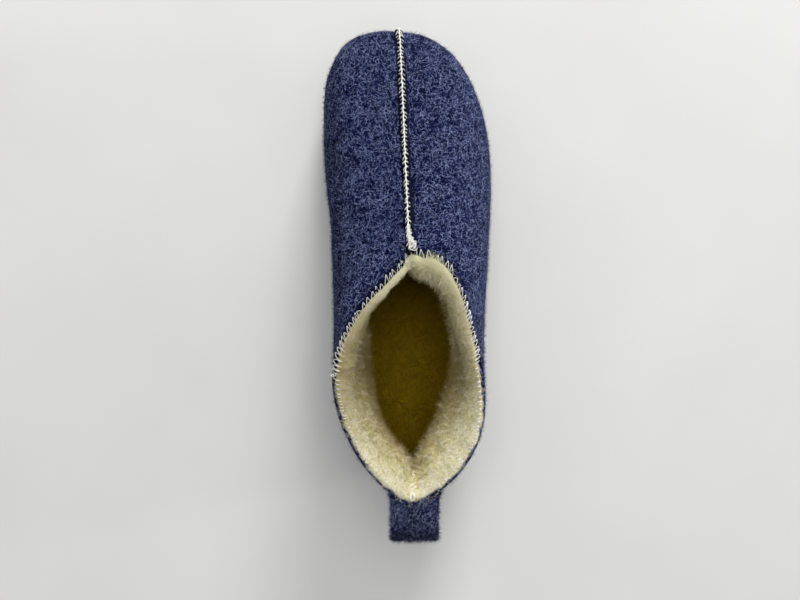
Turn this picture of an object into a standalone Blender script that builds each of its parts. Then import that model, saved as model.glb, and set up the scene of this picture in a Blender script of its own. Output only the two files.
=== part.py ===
"""Felt slipper boot for the right foot, standing empty on its sole.

An assembly of four solids: a thin rubber outsole, a hollow felt upper with a raised seam
from the toe to the collar, a loose insole, and a felt pull loop sewn to the back.
Metres, +Z up, toe towards +Y, inner (medial) side towards -X.
Run it with: blender --background --python part.py
"""

import math

import bmesh
import bpy
import numpy as np

MM = 0.001

# Driving sizes
FOOT_LENGTH = 268 * MM  # heel to toe along the upper's lower edge
BALL_WIDTH = 95 * MM  # across the ball along the upper's lower edge
INSTEP_HEIGHT = 90 * MM  # floor to the front point of the collar
HEEL_HEIGHT = 108 * MM  # floor to the back point of the collar
FELT = 3.5 * MM  # thickness of the upper's felt
HEEL_Y = -124.3 * MM  # back of the upper's lower edge, which centres the whole boot on the origin
GAP = 0.3 * MM  # clearance between pieces that touch

# Outsole
SOLE_THICKNESS = 7 * MM
SOLE_MARGIN = 1.0 * MM  # the sole's edge stands this far outside the upper's lower edge
SOLE_EDGE_ROUND = 1.4 * MM
TOE_SPRING = 6.5 * MM  # lift of the toe tip
SPRING_START = 0.80  # share of the length where the toe starts to lift
ARCH_LIFT = 1.6 * MM  # hollow under the waist
ARCH_FROM, ARCH_TO = 0.34, 0.60  # shares of the length

# Insole
INSOLE_THICKNESS = 4.5 * MM
INSOLE_CLEARANCE = 0.9 * MM

# Raised seam: the two felt edges turned out along the middle of the vamp
RIDGE_HEIGHT = 2.8 * MM
RIDGE_HALF_WIDTH = 2.6 * MM
RIDGE_START = 0.05  # share of the way up where the ridge has its full height

# Pull loop: a felt strip sewn flat to the back at both ends, standing off in a round bow between them
LOOP_WIDTH = 25.6 * MM
LOOP_ASIDE = 0.85 * MM  # it is sewn on a little to the lateral side of the heel's middle
LOOP_FELT = 3.0 * MM
LOOP_TOP = 101 * MM
LOOP_TAB = 7 * MM  # length sewn flat at each end
LOOP_FOOT_RADIUS = 5 * MM  # where a tab turns away from the wall
LOOP_LEG = 12.6 * MM  # straight run out from the wall
LOOP_LEG_ANGLE = 80  # degrees between a leg and the wall
LOOP_BOW_RADIUS = 7.5 * MM  # round outer end

# Sections of the upper, a row for each place round the foot, from the toe to the heel.
# along: share of the foot length. out: share of half the ball width, from the centre line.
# collar_x, collar_along: the point of the collar that this section climbs to, in the same shares.
# rise, bulge: the pull of the lower wall upwards and outwards, in millimetres.
# lean: angle in degrees at which the wall arrives at the collar. reach: length of that pull, in millimetres.
COLUMNS = ("along", "out", "collar_x", "collar_along", "rise", "bulge", "lean", "reach")
TOE = (1.000, -0.126, 0.017, 0.497, 34, 21.5, 26, 70)
HEEL = (0.000, 0.053, 0.023, 0.006, 32, 4.0, 93, 34)
MEDIAL = (
    (1.000, -0.230, -0.040, 0.481, 34, 24.0, 26, 70),
    (0.994, -0.480, -0.110, 0.465, 34, 26.5, 26, 68),
    (0.980, -0.670, -0.185, 0.452, 34, 27.5, 27, 65),
    (0.953, -0.820, -0.265, 0.437, 34, 24.0, 28, 61),
    (0.915, -0.930, -0.345, 0.422, 34, 19.5, 30, 57),
    (0.863, -0.990, -0.430, 0.407, 34, 14.0, 32, 53),
    (0.763, -1.010, -0.570, 0.376, 35, 10.4, 37, 48),
    (0.633, -0.945, -0.715, 0.333, 37, 6.0, 46, 42),
    (0.502, -0.860, -0.830, 0.281, 38, 7.0, 58, 38),
    (0.370, -0.775, -0.830, 0.210, 36, 5.4, 74, 34),
    (0.240, -0.695, -0.675, 0.130, 33, 4.0, 84, 32),
    (0.125, -0.610, -0.415, 0.060, 32, 4.0, 88, 32),
    (0.038, -0.360, -0.150, 0.019, 32, 4.0, 91, 33),
)
LATERAL = (
    (0.998, -0.020, 0.120, 0.493, 34, 22.0, 26, 70),
    (0.990, 0.130, 0.245, 0.489, 34, 25.0, 26, 68),
    (0.973, 0.335, 0.340, 0.482, 34, 25.0, 27, 65),
    (0.945, 0.520, 0.445, 0.470, 34, 24.0, 28, 61),
    (0.910, 0.680, 0.515, 0.452, 34, 20.0, 30, 57),
    (0.858, 0.820, 0.565, 0.433, 34, 17.5, 32, 53),
    (0.763, 0.957, 0.655, 0.395, 35, 12.6, 37, 48),
    (0.633, 0.998, 0.725, 0.343, 37, 7.8, 46, 42),
    (0.502, 0.945, 0.800, 0.288, 38, 7.0, 58, 38),
    (0.370, 0.875, 0.850, 0.214, 36, 4.2, 74, 34),
    (0.240, 0.805, 0.775, 0.127, 33, 4.0, 84, 32),
    (0.125, 0.710, 0.505, 0.054, 32, 4.0, 88, 32),
    (0.038, 0.463, 0.210, 0.016, 32, 4.0, 91, 33),
)
NEAR_COLLAR = 15 * MM  # below this distance in plan, a section climbs upright whatever its lean

# Fineness of the solids
SEAM_COLUMNS = (1.1, 2.0, 2.6, 4.4, 7.6)  # distances from the raised seam, in millimetres
COLUMN_STEP = 8.6 * MM
OUTER_ROWS = 17
INNER_ROWS = 9
SOLE_POINTS = 96
SOLE_CUTS = 19
LOOP_STEPS = 30
LOOP_ACROSS = 6
ROUTE_FINENESS = 50  # steps in which the loop's route is added up, for each step that is kept
NUDGE = 0.001  # step for measuring slopes, as a length or a share of the climb


def smooth_step(value):
    """0 below 0, 1 above 1, and an even S between."""
    held = np.clip(value, 0.0, 1.0)
    return held * held * (3 - 2 * held)


def toe_lift(along):
    """Height of the sole's underside over the floor, at a share of the foot length."""
    spring = np.clip((along - SPRING_START) / (1 - SPRING_START), 0, 1.1)
    return TOE_SPRING * spring**2


def collar_height(along):
    """Height of the collar's edge, which rises evenly from the instep to the heel."""
    front, back = TOE[3], HEEL[3]
    return HEEL_HEIGHT + (INSTEP_HEIGHT - HEEL_HEIGHT) * (along - back) / (front - back)


def closed_spline(knots, values):
    """A function for the periodic cubic curve through the rows of values, one row at each knot."""
    count = len(values)
    step = np.diff(knots)
    slope = (np.roll(values, -1, axis=0) - values) / step[:, None]
    before = np.roll(step, 1)
    matrix = np.zeros((count, count))
    for row in range(count):
        matrix[row, row] = 2 * (before[row] + step[row])
        matrix[row, row - 1] += before[row]
        matrix[row, (row + 1) % count] += step[row]
    curvature = np.linalg.solve(matrix, 6 * (slope - np.roll(slope, 1, axis=0)))

    def at(place):
        place = np.mod(place, knots[-1])
        row = np.clip(np.searchsorted(knots, place, side="right") - 1, 0, count - 1)
        following = (row + 1) % count
        width = step[row][:, None]
        right = (place - knots[row])[:, None]
        left = width - right
        return (
            (curvature[row] * left**3 + curvature[following] * right**3) / (6 * width)
            + (values[row] / width - curvature[row] * width / 6) * left
            + (values[following] / width - curvature[following] * width / 6) * right
        )

    return at


def section_rows():
    """The table as metres, anticlockwise seen from above: toe, inner side, heel, outer side."""
    rows = [TOE, *MEDIAL, HEEL, *reversed(LATERAL)]
    table = {name: np.array([row[n] for row in rows]) for n, name in enumerate(COLUMNS)}
    half = BALL_WIDTH / 2
    return np.column_stack(
        [
            table["out"] * half,
            HEEL_Y + table["along"] * FOOT_LENGTH,
            table["collar_x"] * half,
            HEEL_Y + table["collar_along"] * FOOT_LENGTH,
            collar_height(table["collar_along"]),
            table["rise"] * MM,
            table["bulge"] * MM,
            np.radians(table["lean"]),
            table["reach"] * MM,
        ]
    )


ROWS = section_rows()
CHORDS = np.linalg.norm(np.roll(ROWS[:, :2], -1, axis=0) - ROWS[:, :2], axis=1)
KNOTS = np.concatenate([[0], np.cumsum(CHORDS)])
GIRTH = KNOTS[-1]  # length of the upper's lower edge, along which every place is measured
HEEL_PLACE = KNOTS[len(MEDIAL) + 1]
section_at = closed_spline(KNOTS, ROWS)


def outward(place):
    """Unit vectors in the floor plane that point out of the foot's outline."""
    ahead, behind = section_at(place + NUDGE)[:, :2], section_at(place - NUDGE)[:, :2]
    tangent = (ahead - behind) / np.linalg.norm(ahead - behind, axis=1)[:, None]
    return np.column_stack([tangent[:, 1], -tangent[:, 0], np.zeros(len(tangent))])


def base_surface(place, climb):
    """Points of the upper's smooth outer face: climb 0 is its lower edge, 1 is the collar."""
    section = section_at(place)
    lower = SOLE_THICKNESS + GAP + toe_lift((section[:, 1] - HEEL_Y) / FOOT_LENGTH)
    foot = np.column_stack([section[:, 0:2], lower])
    collar = section[:, 2:5]
    rise, bulge, lean, reach = section[:, 5:9].T
    up = np.array([0, 0, 1.0])
    shoulder = foot + rise[:, None] * up + bulge[:, None] * outward(place)
    inwards = (collar - foot) * (1, 1, 0)
    inwards /= np.maximum(np.linalg.norm(inwards, axis=1), NEAR_COLLAR)[:, None]
    arriving = np.cos(lean)[:, None] * inwards + np.sin(lean)[:, None] * up
    before_collar = collar - reach[:, None] * arriving
    t = np.asarray(climb)[:, None]
    return (
        (1 - t) ** 3 * foot
        + 3 * (1 - t) ** 2 * t * shoulder
        + 3 * (1 - t) * t**2 * before_collar
        + t**3 * collar
    )


def upper_normal(place, climb):
    """Unit vectors that point out of the upper's wall."""
    low, high = np.clip(climb - NUDGE, 0, 1), np.clip(climb + NUDGE, 0, 1)
    along = base_surface(place + NUDGE, climb) - base_surface(place - NUDGE, climb)
    rising = base_surface(place, high) - base_surface(place, low)
    normal = np.cross(along, rising)
    return normal / np.linalg.norm(normal, axis=1)[:, None]


def ridge_height(place, climb):
    """How far the raised seam stands off the vamp here. It starts just above the sole."""
    seam = base_surface(np.zeros_like(place), climb)
    off = np.linalg.norm(base_surface(place, climb) - seam, axis=1) / RIDGE_HALF_WIDTH
    return RIDGE_HEIGHT * np.clip(1 - off**4, 0, 1) * smooth_step(climb / RIDGE_START)


def upper_points(place, climb, depth):
    """Points at a depth inside the upper's outer face. Only the outer face carries the raised seam."""
    place, climb = np.broadcast_arrays(np.asarray(place, float), np.asarray(climb, float))
    offset = ridge_height(place, climb) if depth == 0 else np.full(len(place), -depth)
    return base_surface(place, climb) + offset[:, None] * upper_normal(place, climb)


def upper_columns():
    """Places round the lower edge where the upper has a column of points: close by the seam, then even."""
    beside = np.array(SEAM_COLUMNS) * MM
    first, last = beside[-1], GIRTH - beside[-1]
    count = round((last - first) / COLUMN_STEP)
    even = np.linspace(first, last, count + 1)
    return np.concatenate([[0], beside[:-1], even, (GIRTH - beside[:-1])[::-1]])


def material(name, colour, roughness):
    made = bpy.data.materials.new(name)
    made.use_nodes = True
    shader = made.node_tree.nodes["Principled BSDF"]
    shader.inputs["Base Color"].default_value = (*colour, 1)
    shader.inputs["Roughness"].default_value = roughness
    shader.inputs["Metallic"].default_value = 0
    return made


def finish(obj, name, collection, look):
    """Names an object, moves it to the boot's collection and gives it its material."""
    obj.name = obj.data.name = name
    for old in list(obj.users_collection):
        old.objects.unlink(obj)
    collection.objects.link(obj)
    obj.data.materials.append(look)
    obj.data.shade_smooth()
    obj.data.set_sharp_from_angle(angle=math.radians(40))
    return obj


def make_upper():
    """A torus bent to the foot: each of its small rings is the wall's closed profile at one section."""
    columns = upper_columns()
    rings = OUTER_ROWS + INNER_ROWS
    bpy.ops.mesh.primitive_torus_add(major_segments=len(columns), minor_segments=rings)
    obj = bpy.context.object
    climbing = np.linspace(0, 1, OUTER_ROWS)
    falling = np.linspace(1, 0, INNER_ROWS)
    points = np.empty((len(columns), rings, 3))
    for n, place in enumerate(columns):
        points[n, :OUTER_ROWS] = upper_points(np.full(OUTER_ROWS, place), climbing, 0)
        points[n, OUTER_ROWS:] = upper_points(np.full(INNER_ROWS, place), falling, FELT)
    obj.data.vertices.foreach_set("co", points.astype(np.float32).ravel())
    return obj


def outline(margin, count):
    """Points of the foot's outline at a distance outside the upper's lower edge, with z left at 0."""
    place = np.arange(count) * GIRTH / count
    flat = np.column_stack([section_at(place)[:, 0:2], np.zeros(count)])
    return flat + margin * outward(place)


def make_slab(margin, thickness, underside):
    """A plate with the foot's outline, cut across so that it can follow underside(along)."""
    bpy.ops.mesh.primitive_circle_add(vertices=SOLE_POINTS, fill_type="NGON")
    obj = bpy.context.object
    obj.data.vertices.foreach_set("co", outline(margin, SOLE_POINTS).astype(np.float32).ravel())
    plate = bmesh.new()
    plate.from_mesh(obj.data)
    raised = bmesh.ops.extrude_face_region(plate, geom=plate.faces[:])["geom"]
    bmesh.ops.translate(
        plate, verts=[v for v in raised if isinstance(v, bmesh.types.BMVert)], vec=(0, 0, thickness)
    )
    for share in np.linspace(0, 1, SOLE_CUTS + 2)[1:-1]:
        bmesh.ops.bisect_plane(
            plate,
            geom=plate.verts[:] + plate.edges[:] + plate.faces[:],
            plane_co=(0, HEEL_Y + share * FOOT_LENGTH, 0),
            plane_no=(0, 1, 0),
        )
    for vertex in plate.verts:
        low = vertex.co.z < thickness / 2
        vertex.co.z += float(underside((vertex.co.y - HEEL_Y) / FOOT_LENGTH, low))
    bmesh.ops.recalc_face_normals(plate, faces=plate.faces)
    plate.to_mesh(obj.data)
    plate.free()
    return obj


def outsole_underside(along, low):
    """The sole follows the toe spring, and its underside is hollow at the waist."""
    middle = (along - ARCH_FROM) / (ARCH_TO - ARCH_FROM)
    hollow = ARCH_LIFT * math.sin(math.pi * min(max(middle, 0), 1)) ** 2
    return toe_lift(along) + (hollow if low else 0)


def make_outsole():
    obj = make_slab(SOLE_MARGIN, SOLE_THICKNESS, outsole_underside)
    rounding = obj.modifiers.new("rounded edge", "BEVEL")
    rounding.width = SOLE_EDGE_ROUND
    rounding.segments = 2
    rounding.limit_method = "ANGLE"
    rounding.angle_limit = math.radians(50)
    return obj


def make_insole():
    return make_slab(
        -FELT - INSOLE_CLEARANCE,
        INSOLE_THICKNESS,
        lambda along, low: SOLE_THICKNESS + GAP + toe_lift(along),
    )


def back_wall(across, height):
    """Y of the upper's outer face at the back, for a point across the heel at a height."""
    place = HEEL_PLACE + np.linspace(-2, 2, 49) * LOOP_WIDTH
    climb = np.linspace(0, 1, 41)
    x, y = np.empty(len(place)), np.empty(len(place))
    for n, here in enumerate(place):
        column = base_surface(np.full(len(climb), here), climb)
        x[n] = np.interp(height, column[:, 2], column[:, 0])
        y[n] = np.interp(height, column[:, 2], column[:, 1])
    return np.interp(across, x, y)


def loop_route():
    """Distances from the wall and heights of the strip's inner face, from the top tab to the lower one."""
    turn = math.radians(LOOP_LEG_ANGLE)
    runs = (
        (LOOP_TAB, 0, 0),
        (LOOP_FOOT_RADIUS * turn, 0, turn),
        (LOOP_LEG, turn, turn),
        (LOOP_BOW_RADIUS * 2 * turn, turn, -turn),
        (LOOP_LEG, -turn, -turn),
        (LOOP_FOOT_RADIUS * turn, -turn, 0),
        (LOOP_TAB, 0, 0),
    )
    ends = np.cumsum([0] + [length for length, _, _ in runs])
    steps = np.linspace(0, ends[-1], LOOP_STEPS * ROUTE_FINENESS + 1)
    headings = np.zeros_like(steps)
    for (length, first, last), start in zip(runs, ends):
        inside = (steps >= start) & (steps <= start + length)
        headings[inside] = first + (last - first) * (steps[inside] - start) / length
    middle = (headings[1:] + headings[:-1]) / 2
    advance = np.diff(steps)
    distance = GAP + np.concatenate([[0], np.cumsum(np.sin(middle) * advance)])
    height = LOOP_TOP - np.concatenate([[0], np.cumsum(np.cos(middle) * advance)])
    return distance[::ROUTE_FINENESS], height[::ROUTE_FINENESS]


def make_loop():
    """A strip of felt that follows the wall at both ends and is straight across where it stands off."""
    bpy.ops.mesh.primitive_grid_add(x_subdivisions=LOOP_ACROSS, y_subdivisions=LOOP_STEPS)
    obj = bpy.context.object
    distances, heights = loop_route()
    centre = section_at(np.array([HEEL_PLACE]))[0, 0] + LOOP_ASIDE
    for vertex in obj.data.vertices:
        step = round((1 - vertex.co.y) / 2 * LOOP_STEPS)
        across = vertex.co.x * LOOP_WIDTH / 2
        straight = smooth_step(distances[step] / LOOP_LEG)
        wall = back_wall(centre + across * (1 - straight), heights[step])
        vertex.co = (centre + across, wall - distances[step], heights[step])
    thickness = obj.modifiers.new("felt", "SOLIDIFY")
    thickness.thickness = LOOP_FELT
    thickness.offset = 1
    thickness.use_even_offset = True
    return obj


def main():
    for old in list(bpy.data.objects):
        bpy.data.objects.remove(old)
    boot = bpy.data.collections.new("slipper boot")
    bpy.context.scene.collection.children.link(boot)
    blue_felt = material("blue felt", (0.045, 0.060, 0.125), 0.95)
    strip_felt = material("blue felt strip", (0.040, 0.052, 0.110), 0.95)
    rubber = material("dark rubber", (0.030, 0.031, 0.034), 0.70)
    fleece = material("cream fleece", (0.62, 0.55, 0.38), 0.98)
    finish(make_outsole(), "outsole", boot, rubber)
    finish(make_upper(), "upper", boot, blue_felt)
    finish(make_insole(), "insole", boot, fleece)
    finish(make_loop(), "pull_loop", boot, strip_felt)


main()
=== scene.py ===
# %% [markdown]
# # A felt slipper boot, dressed for its portrait
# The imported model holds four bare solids: outsole, upper, insole and pull loop. This lesson dresses them
# the way the boot was made: a wool felt shell sewn with white overlock thread, a fleece lining that rolls
# over the collar, a woolly insole, a felt loop and a rubber sole. Everything is in metres, toe towards +Y.

# %% Load the frame
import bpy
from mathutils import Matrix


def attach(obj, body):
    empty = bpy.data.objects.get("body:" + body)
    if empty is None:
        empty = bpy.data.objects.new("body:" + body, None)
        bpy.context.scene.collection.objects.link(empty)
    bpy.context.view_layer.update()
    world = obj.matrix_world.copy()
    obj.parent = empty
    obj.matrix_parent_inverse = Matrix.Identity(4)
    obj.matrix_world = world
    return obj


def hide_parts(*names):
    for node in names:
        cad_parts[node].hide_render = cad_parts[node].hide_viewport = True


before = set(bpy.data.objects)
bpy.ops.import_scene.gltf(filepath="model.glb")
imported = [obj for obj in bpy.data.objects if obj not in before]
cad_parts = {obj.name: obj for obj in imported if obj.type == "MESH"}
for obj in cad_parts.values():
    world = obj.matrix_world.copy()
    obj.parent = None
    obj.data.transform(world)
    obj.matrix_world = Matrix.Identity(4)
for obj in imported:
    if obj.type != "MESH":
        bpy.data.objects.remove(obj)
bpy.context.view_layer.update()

import math

import bpy
import numpy as np
from mathutils import Vector, noise
from mathutils.bvhtree import BVHTree

MM = 0.001

# %% [markdown]
# ## Camera
# The photograph looks straight into the boot from above the collar, so the camera hangs over the boot and
# looks down. Its height decides how much wider the collar looks than the sole, and the lens then sets the
# boot's size in the frame.

# %% Camera
CAMERA_PLACE = (-4.6 * MM, -17.15 * MM, 560 * MM)
CAMERA_LENS = 39.24
bpy.ops.object.select_all(action="DESELECT")
bpy.ops.object.camera_add(location=CAMERA_PLACE, rotation=(0, 0, 0))
camera = bpy.context.object
camera.name = "camera"
camera.data.lens = CAMERA_LENS
camera.data.sensor_width = 36
camera.data.clip_start = 0.01
bpy.context.scene.camera = camera
print("camera at", [round(value, 4) for value in camera.location], "lens", CAMERA_LENS)

# %% [markdown]
# ## Colours and nodes
# Colours are written as the sRGB hex values a screen would show, and one function turns them to the linear
# values that light is counted in. One more adds a node with its settings and links. Most finishes here are a
# noise that colours the surface and raises it a little, so that has its own function.


# %% Colour and node helpers
def linear(hex_code):
    """An sRGB hex value as linear red, green, blue and an alpha of 1."""
    channels = [int(hex_code[n : n + 2], 16) / 255 for n in (1, 3, 5)]
    return (*[c / 12.92 if c <= 0.04045 else ((c + 0.055) / 1.055) ** 2.4 for c in channels], 1.0)


def add_node(look, kind, inputs=None, links=None, ramp=None, **settings):
    """Adds a node to a material: settings, values for its sockets, links into them, stops for a ramp."""
    node = look.node_tree.nodes.new(kind)
    for name, value in settings.items():
        setattr(node, name, value)
    for socket, value in (inputs or {}).items():
        node.inputs[socket].default_value = value
    for socket, source in (links or {}).items():
        look.node_tree.links.new(source, node.inputs[socket])
    if ramp:
        stops = node.color_ramp.elements
        while len(stops) < len(ramp):
            stops.new(0.5)
        for stop, (position, hex_code) in zip(stops, ramp):
            stop.position = position
            stop.color = linear(hex_code)
    return node


def start_material(name, **values):
    """A new material, with values set on its shader's own sockets."""
    look = bpy.data.materials.new(name)
    look.use_nodes = True
    for socket, value in values.items():
        look.node_tree.nodes["Principled BSDF"].inputs[socket.replace("_", " ")].default_value = value
    return look


def connect(look, output, socket):
    """Links a node's output to a socket of the material's shader."""
    look.node_tree.links.new(output, look.node_tree.nodes["Principled BSDF"].inputs[socket])


def shade_by(look, height, ramp=None, bump=None):
    """Colours a material by a ramp over a height, and raises it by a bump's strength and depth."""
    if ramp:
        tone = add_node(look, "ShaderNodeValToRGB", links={"Fac": height}, ramp=ramp)
        connect(look, tone.outputs["Color"], "Base Color")
    if bump:
        strength, depth = bump
        settings = {"Strength": strength, "Distance": depth}
        raised = add_node(look, "ShaderNodeBump", settings, {"Height": height})
        connect(look, raised.outputs["Normal"], "Normal")


def grained(look, size, detail, distortion=0.0, ramp=None, bump=None):
    """Shades a material by noise with lumps of this size, and returns that noise."""
    coordinates = add_node(look, "ShaderNodeTexCoord")
    lumps = add_node(
        look,
        "ShaderNodeTexNoise",
        {"Scale": 1 / size, "Detail": detail, "Distortion": distortion},
        {"Vector": coordinates.outputs["Object"]},
    )
    shade_by(look, lumps.outputs["Fac"], ramp, bump)
    return lumps.outputs["Fac"]


def mix_in(look, factor, hex_code):
    """Mixes another colour into a material's own, by the factor that a node gives."""
    before = look.node_tree.nodes["Principled BSDF"].inputs["Base Color"].links[0].from_socket
    mixed = add_node(
        look, "ShaderNodeMix", {"B": linear(hex_code)}, {"Factor": factor, "A": before}, data_type="RGBA"
    )
    connect(look, mixed.outputs["Result"], "Base Color")


def mix_along(look, axis, start, end, share, hex_code):
    """Mixes another colour into a material along an axis: none up to start, a full share from end on."""
    coordinates = add_node(look, "ShaderNodeTexCoord")
    place = add_node(look, "ShaderNodeSeparateXYZ", links={"Vector": coordinates.outputs["Object"]})
    limits = {"From Min": start, "From Max": end, "To Max": share}
    shade_mix = add_node(look, "ShaderNodeMapRange", limits, {"Value": place.outputs[axis]})
    mix_in(look, shade_mix.outputs["Result"], hex_code)


def finish_piece(piece, name, look):
    """Names a piece, gives it its material and slot, and lets it ride on the boot's one body."""
    piece.name = piece.data.name = name
    piece.data.materials.clear()
    piece.data.materials.append(look)
    piece.data.shade_smooth()
    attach(piece, "root")
    piece.data.calc_loop_triangles()
    print(name, "has", len(piece.data.loop_triangles), "triangles")


# %% [markdown]
# ## Floor and light
# A plain pale floor and soft light. In the photograph the light comes over the toe, so it grazes along the
# vamp, reaches the back of the lining and leaves the insole dark. A low softbox beyond the toe does that,
# one overhead reaches the loop and the insole, and a low one on the lateral side lifts that flank. An even
# sky does the rest: it lights the felt from all around and fades into the depth of the boot.

# %% Floor and light
CLOUD_SIZE = 1 / 9
LIT_PLACE = Vector((0, 0, 40 * MM))
# Place, size and power of each softbox
LIGHTS = {
    "toe softbox": ((0.40, 2.18, 0.74), 0.65, 50.0),
    "overhead softbox": ((0.05, 0.45, 1.75), 1.0, 11.0),
    "lateral softbox": ((1.60, 0.15, 0.09), 0.2, 16.0),
}
SKY_STRENGTH = 0.38
bpy.ops.object.select_all(action="DESELECT")
bpy.ops.mesh.primitive_plane_add(size=14)
floor = bpy.context.object
floor.name = "floor"
painted_board = start_material("matt painted board", Roughness=0.9)
grained(painted_board, CLOUD_SIZE, 3.0, ramp=((0.3, "#E3E2DE"), (0.7, "#E8E7E3")))
floor.data.materials.append(painted_board)

for name, (place, size, power) in LIGHTS.items():
    bpy.ops.object.light_add(type="AREA", location=place)
    lamp = bpy.context.object
    lamp.name = name
    lamp.rotation_euler = (LIT_PLACE - Vector(place)).to_track_quat("-Z", "Y").to_euler()
    lamp.data.size = size
    lamp.data.energy = power

sky = bpy.data.worlds.new("soft sky")
sky.use_nodes = True
sky.node_tree.nodes["Background"].inputs["Color"].default_value = linear("#F4F6FA")
sky.node_tree.nodes["Background"].inputs["Strength"].default_value = SKY_STRENGTH
bpy.context.scene.world = sky
bpy.context.scene.view_settings.view_transform = "Standard"
print("lights:", list(LIGHTS))

# %% [markdown]
# ## The form of the upper
# Felt is pressed over a last, so every section of the upper is one smooth curve from the sole's edge to the
# collar. The solids were made from a short table of such sections, with a closed spline round the foot. The
# dressed pieces need the same form, finer, so the table and its functions are repeated here.

# %% Sizes and sections of the upper
FOOT_LENGTH = 268 * MM
BALL_WIDTH = 95 * MM
INSTEP_HEIGHT = 90 * MM
HEEL_HEIGHT = 108 * MM
HEEL_Y = -124.3 * MM
FELT = 3.5 * MM
SOLE_TOP = 7.3 * MM
TOE_SPRING = 6.5 * MM
SPRING_START = 0.80
NEAR_COLLAR = 15 * MM
NUDGE = 0.001

# along: share of the foot length. out: share of half the ball width, from the centre line.
# collar_x, collar_along: the point of the collar that this section climbs to, in the same shares.
# rise, bulge: the pull of the lower wall upwards and outwards, in millimetres.
# lean: angle in degrees at which the wall arrives at the collar. reach: length of that pull, in millimetres.
COLUMNS = ("along", "out", "collar_x", "collar_along", "rise", "bulge", "lean", "reach")
TOE = (1.000, -0.126, 0.017, 0.497, 34, 21.5, 26, 70)
HEEL = (0.000, 0.053, 0.023, 0.006, 32, 4.0, 93, 34)
MEDIAL = (
    (1.000, -0.230, -0.040, 0.481, 34, 24.0, 26, 70),
    (0.994, -0.480, -0.110, 0.465, 34, 26.5, 26, 68),
    (0.980, -0.670, -0.185, 0.452, 34, 27.5, 27, 65),
    (0.953, -0.820, -0.265, 0.437, 34, 24.0, 28, 61),
    (0.915, -0.930, -0.345, 0.422, 34, 19.5, 30, 57),
    (0.863, -0.990, -0.430, 0.407, 34, 14.0, 32, 53),
    (0.763, -1.010, -0.570, 0.376, 35, 10.4, 37, 48),
    (0.633, -0.945, -0.715, 0.333, 37, 6.0, 46, 42),
    (0.502, -0.860, -0.830, 0.281, 38, 7.0, 58, 38),
    (0.370, -0.775, -0.830, 0.210, 36, 5.4, 74, 34),
    (0.240, -0.695, -0.675, 0.130, 33, 4.0, 84, 32),
    (0.125, -0.610, -0.415, 0.060, 32, 4.0, 88, 32),
    (0.038, -0.360, -0.150, 0.019, 32, 4.0, 91, 33),
)
LATERAL = (
    (0.998, -0.020, 0.120, 0.493, 34, 22.0, 26, 70),
    (0.990, 0.130, 0.245, 0.489, 34, 25.0, 26, 68),
    (0.973, 0.335, 0.340, 0.482, 34, 25.0, 27, 65),
    (0.945, 0.520, 0.445, 0.470, 34, 24.0, 28, 61),
    (0.910, 0.680, 0.515, 0.452, 34, 20.0, 30, 57),
    (0.858, 0.820, 0.565, 0.433, 34, 17.5, 32, 53),
    (0.763, 0.957, 0.655, 0.395, 35, 12.6, 37, 48),
    (0.633, 0.998, 0.725, 0.343, 37, 7.8, 46, 42),
    (0.502, 0.945, 0.800, 0.288, 38, 7.0, 58, 38),
    (0.370, 0.875, 0.850, 0.214, 36, 4.2, 74, 34),
    (0.240, 0.805, 0.775, 0.127, 33, 4.0, 84, 32),
    (0.125, 0.710, 0.505, 0.054, 32, 4.0, 88, 32),
    (0.038, 0.463, 0.210, 0.016, 32, 4.0, 91, 33),
)


# %% Spline round the foot
def smooth_step(value):
    """0 below 0, 1 above 1, and an even S between."""
    held = np.clip(value, 0.0, 1.0)
    return held * held * (3 - 2 * held)


def hump(distance, width):
    """1 at no distance, falling smoothly to nothing a few widths away."""
    return np.exp(-((distance / width) ** 2))


def unit(vectors):
    return vectors / np.linalg.norm(vectors, axis=1)[:, None]


def run_along(points):
    """Distance of each point of a line from its start, along the line."""
    return np.concatenate([[0], np.cumsum(np.linalg.norm(np.diff(points, axis=0), axis=1))])


def toe_lift(along):
    """Height of the sole's underside over the floor, at a share of the foot length."""
    return TOE_SPRING * np.clip((along - SPRING_START) / (1 - SPRING_START), 0, 1.1) ** 2


def collar_height(along):
    """Height of the collar's edge, which rises evenly from the instep to the heel."""
    front, back = TOE[3], HEEL[3]
    return HEEL_HEIGHT + (INSTEP_HEIGHT - HEEL_HEIGHT) * (along - back) / (front - back)


def closed_spline(knots, values):
    """A function for the periodic cubic curve through the rows of values, one row at each knot."""
    count = len(values)
    step = np.diff(knots)
    slope = (np.roll(values, -1, axis=0) - values) / step[:, None]
    before = np.roll(step, 1)
    matrix = np.zeros((count, count))
    for row in range(count):
        matrix[row, row] = 2 * (before[row] + step[row])
        matrix[row, row - 1] += before[row]
        matrix[row, (row + 1) % count] += step[row]
    curvature = np.linalg.solve(matrix, 6 * (slope - np.roll(slope, 1, axis=0)))

    def at(place):
        place = np.mod(place, knots[-1])
        row = np.clip(np.searchsorted(knots, place, side="right") - 1, 0, count - 1)
        following = (row + 1) % count
        width = step[row][:, None]
        right = (place - knots[row])[:, None]
        left = width - right
        return (
            (curvature[row] * left**3 + curvature[following] * right**3) / (6 * width)
            + (values[row] / width - curvature[row] * width / 6) * left
            + (values[following] / width - curvature[following] * width / 6) * right
        )

    return at


def section_rows():
    """The table as metres, anticlockwise seen from above: toe, inner side, heel, outer side."""
    rows = [TOE, *MEDIAL, HEEL, *reversed(LATERAL)]
    table = {name: np.array([row[n] for row in rows]) for n, name in enumerate(COLUMNS)}
    half = BALL_WIDTH / 2
    return np.column_stack(
        [
            table["out"] * half,
            HEEL_Y + table["along"] * FOOT_LENGTH,
            table["collar_x"] * half,
            HEEL_Y + table["collar_along"] * FOOT_LENGTH,
            collar_height(table["collar_along"]),
            table["rise"] * MM,
            table["bulge"] * MM,
            np.radians(table["lean"]),
            table["reach"] * MM,
        ]
    )


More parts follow.
